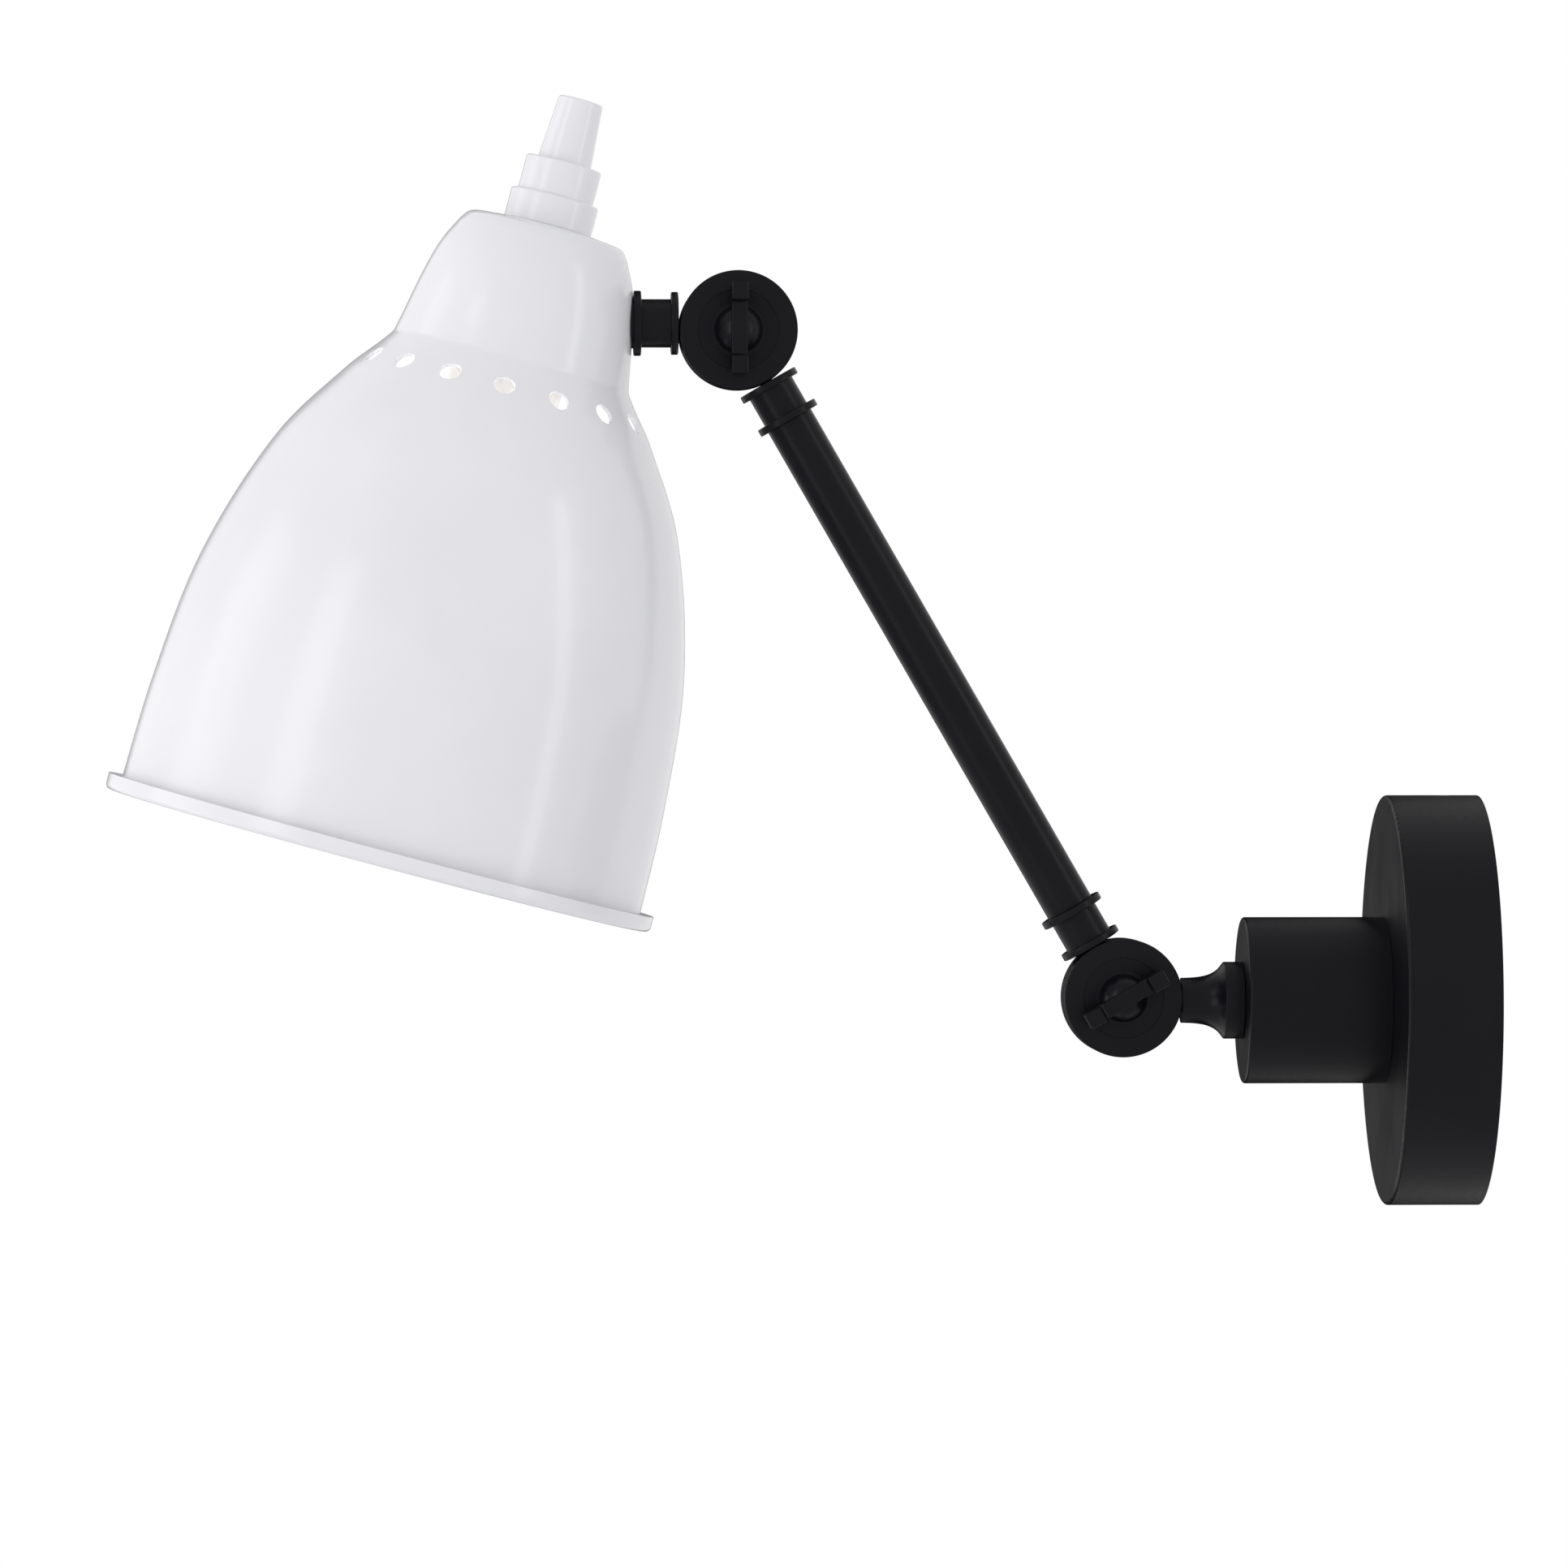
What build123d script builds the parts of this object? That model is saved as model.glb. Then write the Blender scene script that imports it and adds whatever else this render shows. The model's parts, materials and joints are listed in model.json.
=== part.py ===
from build123d import *
import math
import os

# Articulating wall lamp: round canopy, barrel and trumpet stem, two knuckles with
# wing screws, a straight tube arm and a spun bell shade with a stepped cap.
#
# Millimetres. The wall is the plane y = 0, +Z is up, +X is the side of the wing
# screws and the lamp reaches out along -Y. The origin is the centre of the canopy's
# back. Most pieces are turned: their profiles are drawn as (radius, height).

# ---------------------------------------------------------------- wall canopy
CANOPY_RADIUS = 50.0
CANOPY_DEPTH = 22.7
CANOPY_WALL = 1.2
CANOPY_EDGE = 0.8
CABLE_HOLE_RADIUS = 9.0

# ---------------------------------------------------------------- wall bracket
BRACKET_WIDTH = 22.0
BRACKET_THICKNESS = 1.5
BRACKET_CLEARANCE = 0.4
EAR_WIDTH = 12.0
EAR_HEIGHT = 13.0
BEND_RADIUS = 1.0
SLOT_SPACING = 60.0
SLOT_LENGTH = 14.0
SLOT_WIDTH = 5.0
CANOPY_SCREW_HEIGHT = 8.0
CANOPY_SCREW_RADIUS = 2.0
CANOPY_SCREW_LENGTH = 6.0
CANOPY_SCREW_SINK = 0.3
HEX_SOCKET_WIDTH = 2.0
HEX_SOCKET_DEPTH = 2.5

# ---------------------------------------------------------------- wiring inside the canopy
POLE_PITCH = 9.0
POLE_COUNT = 3
BLOCK_LENGTH = 18.0
BLOCK_BASE_HEIGHT = 7.0
BLOCK_HEIGHT = 12.0
BLOCK_OFFSET = 9.0
TOWER_RADIUS = 3.4
TOWER_SPACING = 10.0
TERMINAL_SCREW_RADIUS = 1.8
TERMINAL_SCREW_SINK = 1.0
TERMINAL_SCREW_LENGTH = 5.0
WIRE_ENTRY_RADIUS = 1.6
BLOCK_SCREW_RADIUS = 1.25
BLOCK_SCREW_HEAD_RADIUS = 2.2
BLOCK_SCREW_HEAD_HEIGHT = 1.5
EARTH_SCREW_OFFSET = -12.0
EARTH_SCREW_RADIUS = 2.0
EARTH_HEAD_RADIUS = 3.8
EARTH_HEAD_HEIGHT = 2.6
EARTH_WASHER_RADIUS = 4.6
EARTH_WASHER_THICKNESS = 0.8
DRIVER_SLOT_WIDTH = 0.8
DRIVER_SLOT_DEPTH = 0.9

# ---------------------------------------------------------------- barrel and base swivel
BARREL_RADIUS = 20.28
BARREL_LENGTH = 34.7
BARREL_WALL = 2.0
BARREL_FRONT = 3.0
BARREL_EDGE = 0.6
BOSS_RADIUS = 3.4
BOSS_LENGTH = 13.0
BOSS_BLEND = 0.8
BARREL_SCREW_COUNT = 3
BARREL_SCREW_RADIUS = 1.5
BARREL_SCREW_LENGTH = 10.0
BARREL_SCREW_HEAD_RADIUS = 2.8
BARREL_SCREW_HEAD_HEIGHT = 1.9
BUSH_RADIUS = 6.5
BUSH_FLANGE_RADIUS = 8.5
BUSH_FLANGE = 1.0
STOP_WASHER_THICKNESS = 1.0
STOP_TAB_WIDTH = 1.4
STOP_TAB_REACH = 3.7
STOP_CIRCLE = 11.0
STOP_PIN_RADIUS = 1.0
STOP_PIN_LENGTH = 4.0

# ---------------------------------------------------------------- threads and clearances
THREAD_RADIUS = 5.0
THREAD_GAP = 0.03
RUNNING_GAP = 0.05
FACE_GAP = 0.1
NIPPLE_BORE = 3.5
NUT_WIDTH = 14.0
NUT_HEIGHT = 3.2
NUT_CORNER = 0.6
THREAD_TAIL = 1.5

# ---------------------------------------------------------------- trumpet stem
LOWER_PIVOT_REACH = 86.92
LOWER_PIVOT_RISE = 0.75
FOOT_RADIUS = 9.38
FOOT_LENGTH = 4.5
STEM_NECK_RADIUS = 5.49
STEM_BORE = 3.0
FLARE_MIDDLE = (7.25, 1.92)
FLARE_UPPER = (5.95, 4.92)
STEM_STUB_RADIUS = 4.0
STEM_STUB_LENGTH = 6.0

# ---------------------------------------------------------------- knuckles
KNUCKLE_RADIUS = 14.4
KNUCKLE_THICKNESS = 12.7
KNUCKLE_EDGE = 0.35
FACE_RING_RADIUS = 9.8
FACE_STEP = 0.35
DISH_RADIUS = 6.6
DISH_DEPTH = 0.8
CAVITY_RADIUS = 11.2
CAVITY_DEPTH = 3.4
HUB_RADIUS = 4.8
FRICTION_WASHER_THICKNESS = 0.5
FRICTION_WASHER_MARGIN = 0.4
STUB_RADIUS = 4.97
STUB_LENGTH = 5.0
STUB_BORE = 2.8

# ---------------------------------------------------------------- wing screws
WING_SHANK_RADIUS = 3.0
WING_SHANK_TIP = 1.2
SPRING_WASHER_RADIUS = 5.0
SPRING_WASHER_THICKNESS = 0.8
DOME_RADIUS = 5.8
WING_LENGTH = 21.9
WING_WIDTH = 3.9
WING_UNDERSIDE = 3.1
WING_MIDDLE_HEIGHT = 7.35
WING_EAR_HEIGHT = 11.95
WING_EAR_LENGTH = 4.2
WING_FILLET = 1.5
WING_EDGE = 0.3
LOWER_WING_ANGLE = 30.0
UPPER_WING_ANGLE = 90.0

# ---------------------------------------------------------------- arm and collars
ARM_LENGTH = 187.3
ARM_ANGLE = 120.0
TUBE_RADIUS = 5.96
COLLAR_START = 14.5
COLLAR_LENGTH = 10.8
COLLAR_SLEEVE_RADIUS = 5.87
KNUCKLE_FLANGE_RADIUS = 7.63
KNUCKLE_FLANGE_WIDTH = 1.7
TUBE_FLANGE_RADIUS = 7.9
TUBE_FLANGE_WIDTH = 1.8
COLLAR_EDGE = 0.2
NIPPLE_START = 20.3
NIPPLE_LENGTH = 13.0

# ---------------------------------------------------------------- shade
SHADE_TILT = 15.0
SHADE_DROP = 15.0
SHADE_WALL = 1.0
HEAD_RISE = 1.7
CAP_SEAT = 41.5
CAP_SEAT_RADIUS = 10.9
TOP_CORNER = (19.3, 40.6)
NECK_TOP = (21.1, 38.0)
NECK_UPPER = (23.95, 32.0)
NECK_MIDDLE = (26.2, 24.0)
NECK_FOOT = (28.55, 12.0)
SHOULDER = (29.5, 7.4)
BELL_TOP = (32.0, 4.0)
BELL_SHOULDER = (38.3, -4.0)
MOUTH_RADIUS = 65.0
BELL_UPPER = (MOUTH_RADIUS - 14.6, -24.0)
BELL_MIDDLE = (MOUTH_RADIUS - 4.5, -56.0)
BELL_LOWER = (MOUTH_RADIUS - 0.9, -88.0)
RIM_HEIGHT = -117.6
RIM_SHELF = 3.3
RIM_LIP_HEIGHT = 3.85
RIM_ROUND = 1.3
TOP_ROUND = 4.0
SHOULDER_ROUND = 4.0
VENT_COUNT = 16
VENT_RADIUS = 2.65
VENT_CIRCLE_RADIUS = 35.1
VENT_SLOPE = 38.7
VENT_DRILL_DEPTH = 4.0
SADDLE_RADIUS = 6.1
SADDLE_WAIST = 0.12
INNER_SADDLE_RADIUS = 8.5
INNER_SADDLE_HEIGHT = 1.8

# ---------------------------------------------------------------- cap on the shade
CAP_LOWER_RADIUS = 10.85
CAP_LOWER_HEIGHT = 7.35
CAP_UPPER_RADIUS = 9.35
CAP_UPPER_HEIGHT = 8.55
CAP_EDGE = 0.6
CONE_BASE_RADIUS = 6.6
CONE_TOP_RADIUS = 5.45
CONE_HEIGHT = 15.8
CONE_SPIGOT_LENGTH = 6.0
CONE_BORE_DEPTH = 12.0

# ---------------------------------------------------------------- lamp holder and bulb
HOLDER_NIPPLE_DROP = 9.0
HOLDER_WASHER_MARGIN = 0.9
HOLDER_WASHER_THICKNESS = 1.2
HOLDER_DOME_RADIUS = 13.0
HOLDER_DOME_HEIGHT = 13.0
HOLDER_NECK_RADIUS = 7.5
HOLDER_WALL = 1.6
HOLDER_SKIRT_RADIUS = 14.0
HOLDER_SKIRT_LENGTH = 29.0
HOLDER_LIP_RADIUS = 15.2
HOLDER_LIP_HEIGHT = 2.0
INSERT_HEIGHT = 6.0
CONTACT_RADIUS = 2.6
CONTACT_THICKNESS = 0.6
CONTACT_RISE = 1.6
BULB_CAP_RADIUS = 6.9
BULB_CAP_LENGTH = 22.0
BULB_TIP_RADIUS = 3.0
BULB_TIP_HEIGHT = 1.8
BULB_RADIUS = 22.5
BULB_NECK_RADIUS = 8.5
BULB_NECK_LENGTH = 6.0
BULB_GLASS_LENGTH = 50.0
BULB_GLASS_WALL = 0.8

FULL_TURN = 360.0
HALF_TURN = 180.0


# ---------------------------------------------------------------- frames
def frame_along(y, z, degrees):
    """A frame in the lamp's middle plane whose Z runs at an angle from +Y towards +Z."""
    angle = math.radians(degrees)
    return Plane(origin=(0, y, z), x_dir=(1, 0, 0), z_dir=(0, math.cos(angle), math.sin(angle)))


def frame_across(y, z, side):
    """A frame on a pivot whose Z runs out along X, to one side of the lamp."""
    return Plane(origin=(0, y, z), x_dir=(0, 1, 0), z_dir=(side, 0, 0))


UPWARDS = 90.0
OUTWARDS = 180.0
NEAR = 1
FAR = -1

arm_radians = math.radians(ARM_ANGLE)
lower_pivot_y = -LOWER_PIVOT_REACH
lower_pivot_z = LOWER_PIVOT_RISE
upper_pivot_y = lower_pivot_y + ARM_LENGTH * math.cos(arm_radians)
upper_pivot_z = lower_pivot_z + ARM_LENGTH * math.sin(arm_radians)

WALL = frame_along(0, 0, OUTWARDS)
ARM = frame_along(lower_pivot_y, lower_pivot_z, ARM_ANGLE)
ARM_BACK = frame_along(upper_pivot_y, upper_pivot_z, ARM_ANGLE + HALF_TURN)
STEM = frame_along(lower_pivot_y, 0, 0)
HEAD = frame_along(upper_pivot_y, upper_pivot_z + HEAD_RISE, OUTWARDS)

half_thickness = KNUCKLE_THICKNESS / 2
half_joint = FRICTION_WASHER_THICKNESS / 2
collar_end = COLLAR_START + COLLAR_LENGTH
barrel_face = CANOPY_DEPTH + BARREL_LENGTH


# ---------------------------------------------------------------- shared operations
def outline(*points):
    """A closed face from corner points, given as (radius, height)."""
    return make_face(Polyline(*points, close=True))


def turned(profile, frame):
    """Revolve a (radius, height) profile about a frame's Z axis."""
    return frame.location * revolve(Plane.XZ * profile, Axis.Z)


def ring(inner, outer, start, end, edge=0.0):
    """The (radius, height) profile of a ring, with its outer corners bevelled."""
    if edge == 0:
        return outline((inner, start), (outer, start), (outer, end), (inner, end))
    return outline(
        (inner, start), (outer - edge, start), (outer, start + edge),
        (outer, end - edge), (outer - edge, end), (inner, end),
    )


def rounded(profile, radius, *corners):
    """Round the corners of a profile that lie nearest to the given points."""
    picked = [profile.vertices().sort_by_distance((x, y, 0))[0] for x, y in corners]
    return fillet(picked, radius)


def rod(radius, start, end, frame, x=0.0, y=0.0):
    """A plain cylinder beside a frame's Z axis."""
    return frame.location * Pos(x, y, start) * Cylinder(
        radius, end - start, align=(Align.CENTER, Align.CENTER, Align.MIN)
    )


def block(size_x, size_y, start, end, frame, x=0.0, y=0.0):
    """A plain block beside a frame's Z axis."""
    return frame.location * Pos(x, y, start) * Box(
        size_x, size_y, end - start, align=(Align.CENTER, Align.CENTER, Align.MIN)
    )


def hex_nut(start, bore, frame):
    """A hexagon nut whose corners are turned off at both faces."""
    corner_radius = NUT_WIDTH / math.sqrt(3)
    hexagon = RegularPolygon(radius=NUT_WIDTH / 2, side_count=6, major_radius=False)
    prism = frame.location * Pos(0, 0, start) * extrude(hexagon, NUT_HEIGHT)
    return prism & turned(ring(bore, corner_radius, start, start + NUT_HEIGHT, NUT_CORNER), frame)


def slotted_screw(head_radius, head_height, radius, length, seat, frame, x=0.0, y=0.0):
    """A cheese-head screw: its head stands on the seat and its shank runs down from it."""
    head = rod(head_radius, seat, seat + head_height, frame, x, y)
    shank = rod(radius, seat - length, seat, frame, x, y)
    slot = block(
        head_radius * 3, DRIVER_SLOT_WIDTH, seat + head_height - DRIVER_SLOT_DEPTH,
        seat + head_height + DRIVER_SLOT_DEPTH, frame, x, y,
    )
    return head + shank - slot


def around(radius, count, phase=0.0):
    """Points evenly spaced on a circle."""
    for index in range(count):
        angle = math.radians(phase + index * FULL_TURN / count)
        yield radius * math.cos(angle), radius * math.sin(angle)


def solids_of(pieces):
    """Several separate solids kept together as one node."""
    return Compound(children=[solid for piece in pieces for solid in piece.solids()])


# ---------------------------------------------------------------- wall canopy and bracket
def canopy_screw_frame(side):
    """A frame at the canopy's rim whose Z runs outwards through a side screw."""
    return Plane(
        origin=(0, -CANOPY_SCREW_HEIGHT, side * CANOPY_RADIUS), x_dir=(1, 0, 0), z_dir=(0, 0, side)
    )


barrel_screw_circle = BARREL_RADIUS - BARREL_WALL - BOSS_RADIUS + BOSS_BLEND
canopy_inside = CANOPY_RADIUS - CANOPY_WALL


def make_canopy():
    face_inside = CANOPY_DEPTH - CANOPY_WALL
    profile = outline(
        (CABLE_HOLE_RADIUS, CANOPY_DEPTH), (CANOPY_RADIUS, CANOPY_DEPTH), (CANOPY_RADIUS, 0),
        (canopy_inside, 0), (canopy_inside, face_inside), (CABLE_HOLE_RADIUS, face_inside),
    )
    canopy = turned(rounded(profile, CANOPY_EDGE, (CANOPY_RADIUS, CANOPY_DEPTH)), WALL)
    for x, y in around(barrel_screw_circle, BARREL_SCREW_COUNT, UPWARDS):
        canopy -= rod(BARREL_SCREW_RADIUS + FACE_GAP, 0, barrel_face, WALL, x, y)
    for side in (1, -1):
        frame = canopy_screw_frame(side)
        canopy -= rod(CANOPY_SCREW_RADIUS + FACE_GAP, -CANOPY_SCREW_LENGTH, CANOPY_WALL, frame)
    return canopy


def make_wall_bracket():
    reach = canopy_inside - BRACKET_CLEARANCE
    ear_face = math.sqrt(reach**2 - (EAR_WIDTH / 2) ** 2)
    strap = block(BRACKET_WIDTH, 2 * ear_face, 0, BRACKET_THICKNESS, WALL)
    strap &= rod(reach, 0, BRACKET_THICKNESS, WALL)
    bracket = strap
    for side in (1, -1):
        ear_centre = side * (ear_face - BRACKET_THICKNESS / 2)
        bracket += block(EAR_WIDTH, BRACKET_THICKNESS, 0, EAR_HEIGHT, WALL, 0, ear_centre)
    bends = bracket.edges().filter_by(Axis.X).group_by(Axis.Y)[-1].sort_by(Axis.Z)
    bracket = fillet([bends[0], bends[-1]], BEND_RADIUS)
    for side in (1, -1):
        slot = SlotOverall(SLOT_LENGTH, SLOT_WIDTH, rotation=UPWARDS)
        cutter = WALL.location * Pos(0, side * SLOT_SPACING / 2, 0) * extrude(slot, BRACKET_THICKNESS)
        bracket -= cutter
        bracket -= rod(CANOPY_SCREW_RADIUS, -CANOPY_DEPTH / 2, 0, canopy_screw_frame(side))
    for x in block_screw_places():
        bracket -= rod(BLOCK_SCREW_RADIUS, 0, BRACKET_THICKNESS, WALL, x, BLOCK_OFFSET)
    bracket -= rod(EARTH_SCREW_RADIUS, 0, BRACKET_THICKNESS, WALL, 0, EARTH_SCREW_OFFSET)
    return bracket


def make_canopy_screws():
    """Socket set screws in the bracket's ears that stand out into the canopy's side holes."""
    screws = []
    for side in (1, -1):
        frame = canopy_screw_frame(side)
        top = -CANOPY_SCREW_SINK
        screw = rod(CANOPY_SCREW_RADIUS - THREAD_GAP, top - CANOPY_SCREW_LENGTH, top, frame)
        hexagon = RegularPolygon(radius=HEX_SOCKET_WIDTH / 2, side_count=6, major_radius=False)
        socket = frame.location * Pos(0, 0, top - HEX_SOCKET_DEPTH) * extrude(hexagon, HEX_SOCKET_DEPTH)
        screws.append(screw - socket)
    return solids_of(screws)


# ---------------------------------------------------------------- terminal block and earth
def pole_places():
    return [(index - (POLE_COUNT - 1) / 2) * POLE_PITCH for index in range(POLE_COUNT)]


def block_screw_places():
    return [-POLE_PITCH / 2, POLE_PITCH / 2]


def tower_places():
    for x in pole_places():
        for side in (1, -1):
            yield x, BLOCK_OFFSET + side * TOWER_SPACING / 2


def make_terminal_block():
    base = BRACKET_THICKNESS
    body = block(
        POLE_COUNT * POLE_PITCH, BLOCK_LENGTH, base, base + BLOCK_BASE_HEIGHT, WALL, 0, BLOCK_OFFSET
    )
    for x, y in tower_places():
        body += rod(TOWER_RADIUS, base, base + BLOCK_HEIGHT, WALL, x, y)
    for x, y in tower_places():
        top = base + BLOCK_HEIGHT
        bottom = top - TERMINAL_SCREW_SINK - TERMINAL_SCREW_LENGTH
        body -= rod(TERMINAL_SCREW_RADIUS, bottom, top, WALL, x, y)
    for x in pole_places():
        entry = frame_along(-base - BLOCK_BASE_HEIGHT / 2, BLOCK_OFFSET, UPWARDS)
        body -= rod(WIRE_ENTRY_RADIUS, -BLOCK_LENGTH, BLOCK_LENGTH, entry, x)
    for x in block_screw_places():
        body -= rod(BLOCK_SCREW_RADIUS + THREAD_GAP, 0, base + BLOCK_BASE_HEIGHT, WALL, x, BLOCK_OFFSET)
    return body


def make_terminal_screws():
    screws = []
    top = BRACKET_THICKNESS + BLOCK_HEIGHT - TERMINAL_SCREW_SINK
    for x, y in tower_places():
        screw = rod(TERMINAL_SCREW_RADIUS - THREAD_GAP, top - TERMINAL_SCREW_LENGTH, top, WALL, x, y)
        screw -= block(
            2 * TERMINAL_SCREW_RADIUS, DRIVER_SLOT_WIDTH, top - DRIVER_SLOT_DEPTH, top, WALL, x, y
        )
        screws.append(screw)
    return solids_of(screws)


def make_block_screws():
    seat = BRACKET_THICKNESS + BLOCK_BASE_HEIGHT
    return solids_of([
        slotted_screw(
            BLOCK_SCREW_HEAD_RADIUS, BLOCK_SCREW_HEAD_HEIGHT, BLOCK_SCREW_RADIUS - THREAD_GAP,
            seat - FACE_GAP, seat, WALL, x, BLOCK_OFFSET,
        )
        for x in block_screw_places()
    ])


def make_earth_washer():
    frame = frame_along(-BRACKET_THICKNESS, EARTH_SCREW_OFFSET, OUTWARDS)
    return turned(
        ring(EARTH_SCREW_RADIUS + THREAD_GAP, EARTH_WASHER_RADIUS, 0, EARTH_WASHER_THICKNESS), frame
    )


def make_earth_screw():
    seat = BRACKET_THICKNESS + EARTH_WASHER_THICKNESS
    return slotted_screw(
        EARTH_HEAD_RADIUS, EARTH_HEAD_HEIGHT, EARTH_SCREW_RADIUS - THREAD_GAP,
        seat - FACE_GAP, seat, WALL, 0, EARTH_SCREW_OFFSET,
    )


# ---------------------------------------------------------------- barrel and base swivel
bush_flange_back = barrel_face - BARREL_FRONT - BUSH_FLANGE
stop_washer_back = bush_flange_back - STOP_WASHER_THICKNESS
swivel_nut_back = stop_washer_back - NUT_HEIGHT
foot_face = barrel_face + FACE_GAP


def make_barrel():
    inside = BARREL_RADIUS - BARREL_WALL
    front_inside = barrel_face - BARREL_FRONT
    profile = outline(
        (BUSH_RADIUS, barrel_face), (BARREL_RADIUS, barrel_face), (BARREL_RADIUS, CANOPY_DEPTH),
        (inside, CANOPY_DEPTH), (inside, front_inside), (BUSH_RADIUS, front_inside),
    )
    barrel = turned(rounded(profile, BARREL_EDGE, (BARREL_RADIUS, barrel_face)), WALL)
    for x, y in around(barrel_screw_circle, BARREL_SCREW_COUNT, UPWARDS):
        barrel += rod(BOSS_RADIUS, CANOPY_DEPTH, CANOPY_DEPTH + BOSS_LENGTH, WALL, x, y)
    for x, y in around(barrel_screw_circle, BARREL_SCREW_COUNT, UPWARDS):
        barrel -= rod(BARREL_SCREW_RADIUS, CANOPY_DEPTH, CANOPY_DEPTH + BARREL_SCREW_LENGTH, WALL, x, y)
    return barrel


def make_barrel_screws():
    """Screws driven outwards from inside the canopy, through its face, into the barrel."""
    seat = CANOPY_WALL - CANOPY_DEPTH
    inwards = frame_along(0, 0, 0)
    return solids_of([
        slotted_screw(
            BARREL_SCREW_HEAD_RADIUS, BARREL_SCREW_HEAD_HEIGHT, BARREL_SCREW_RADIUS - THREAD_GAP,
            BARREL_SCREW_LENGTH, seat, inwards, x, -y,
        )
        for x, y in around(barrel_screw_circle, BARREL_SCREW_COUNT, UPWARDS)
    ])


def make_swivel_bush():
    bore = THREAD_RADIUS + RUNNING_GAP
    profile = outline(
        (bore, barrel_face), (BUSH_RADIUS - THREAD_GAP, barrel_face),
        (BUSH_RADIUS - THREAD_GAP, barrel_face - BARREL_FRONT),
        (BUSH_FLANGE_RADIUS, barrel_face - BARREL_FRONT),
        (BUSH_FLANGE_RADIUS, bush_flange_back), (bore, bush_flange_back),
    )
    return turned(profile, WALL)


def make_stop_pin():
    """The pin in the barrel's front that the stop washer's tab meets at the end of its turn."""
    seat = barrel_face - BARREL_FRONT
    return rod(STOP_PIN_RADIUS, seat - STOP_PIN_LENGTH, seat, WALL, 0, -STOP_CIRCLE)


def make_stop_washer():
    washer = turned(
        ring(THREAD_RADIUS + THREAD_GAP, BUSH_FLANGE_RADIUS, stop_washer_back, bush_flange_back), WALL
    )
    tab_length = STOP_TAB_REACH + BOSS_BLEND
    tab_middle = BUSH_FLANGE_RADIUS + STOP_TAB_REACH - tab_length / 2
    return washer + block(
        STOP_TAB_WIDTH, tab_length, stop_washer_back, bush_flange_back, WALL, 0, tab_middle
    )


def make_swivel_nut():
    return hex_nut(swivel_nut_back, THREAD_RADIUS + THREAD_GAP, WALL)


# ---------------------------------------------------------------- trumpet stem
def make_base_stem():
    """The trumpet: a threaded spigot through the barrel's front, a foot and a flared neck."""
    neck_end = LOWER_PIVOT_REACH - COLLAR_START
    foot_end = foot_face + FOOT_LENGTH
    spigot_end = swivel_nut_back - THREAD_TAIL
    flare = Spline(
        (FOOT_RADIUS, foot_end),
        (FLARE_MIDDLE[0], foot_end + FLARE_MIDDLE[1]),
        (FLARE_UPPER[0], foot_end + FLARE_UPPER[1]),
        (STEM_NECK_RADIUS, neck_end),
    )
    sides = Polyline(
        (STEM_NECK_RADIUS, neck_end), (STEM_BORE, neck_end), (STEM_BORE, spigot_end),
        (THREAD_RADIUS, spigot_end), (THREAD_RADIUS, foot_face), (FOOT_RADIUS, foot_face),
        (FOOT_RADIUS, foot_end),
    )
    stem = turned(make_face([*flare.edges(), *sides.edges()]), WALL)
    socket = rod(STEM_STUB_RADIUS + THREAD_GAP, neck_end - STEM_STUB_LENGTH - FACE_GAP, neck_end, WALL)
    return stem - socket


# ---------------------------------------------------------------- knuckles
def knuckle_half(y, z, side, arm_frame, stub_radius, stub_length, bore):
    """Half a friction knuckle: a hollow half drum, and a stub on the knuckle's middle plane.

    The half drum lies on one side of the middle plane. Its stub is centred on that plane,
    so past the rim the stub is cut round to let the other half's drum turn.
    """
    across = frame_across(y, z, side)
    face = half_thickness
    drum = turned(
        outline(
            (bore, half_joint), (HUB_RADIUS, half_joint), (HUB_RADIUS, CAVITY_DEPTH),
            (CAVITY_RADIUS, CAVITY_DEPTH), (CAVITY_RADIUS, half_joint), (KNUCKLE_RADIUS, half_joint),
            (KNUCKLE_RADIUS, face - KNUCKLE_EDGE), (KNUCKLE_RADIUS - KNUCKLE_EDGE, face),
            (FACE_RING_RADIUS, face), (FACE_RING_RADIUS, face - FACE_STEP),
            (DISH_RADIUS, face - DISH_DEPTH), (bore, face - DISH_DEPTH),
        ),
        across,
    )
    stub = rod(stub_radius, CAVITY_RADIUS, COLLAR_START + stub_length, arm_frame)
    stub -= rod(COLLAR_START, -KNUCKLE_THICKNESS, half_joint, across)
    wire_way = rod(STUB_BORE, CAVITY_RADIUS - FACE_STEP, COLLAR_START + stub_length, arm_frame)
    return drum + stub - wire_way


def make_lower_knuckle_base():
    return knuckle_half(
        lower_pivot_y, lower_pivot_z, FAR, STEM, STEM_STUB_RADIUS, STEM_STUB_LENGTH,
        WING_SHANK_RADIUS + RUNNING_GAP,
    )


def make_lower_knuckle_arm():
    return knuckle_half(
        lower_pivot_y, lower_pivot_z, NEAR, ARM, STUB_RADIUS, STUB_LENGTH,
        WING_SHANK_RADIUS + FACE_GAP,
    )


def make_upper_knuckle_arm():
    return knuckle_half(
        upper_pivot_y, upper_pivot_z, NEAR, ARM_BACK, STUB_RADIUS, STUB_LENGTH,
        WING_SHANK_RADIUS + FACE_GAP,
    )


def make_upper_knuckle_head():
    return knuckle_half(
        upper_pivot_y, upper_pivot_z, FAR, HEAD, STUB_RADIUS, STUB_LENGTH,
        WING_SHANK_RADIUS + RUNNING_GAP,
    )


def make_friction_washer(y, z):
    """A fibre ring between the rims of the two half drums."""
    profile = ring(
        CAVITY_RADIUS + FRICTION_WASHER_MARGIN, KNUCKLE_RADIUS - FRICTION_WASHER_MARGIN,
        RUNNING_GAP - half_joint, half_joint,
    )
    return turned(profile, frame_across(y, z, NEAR))


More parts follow.
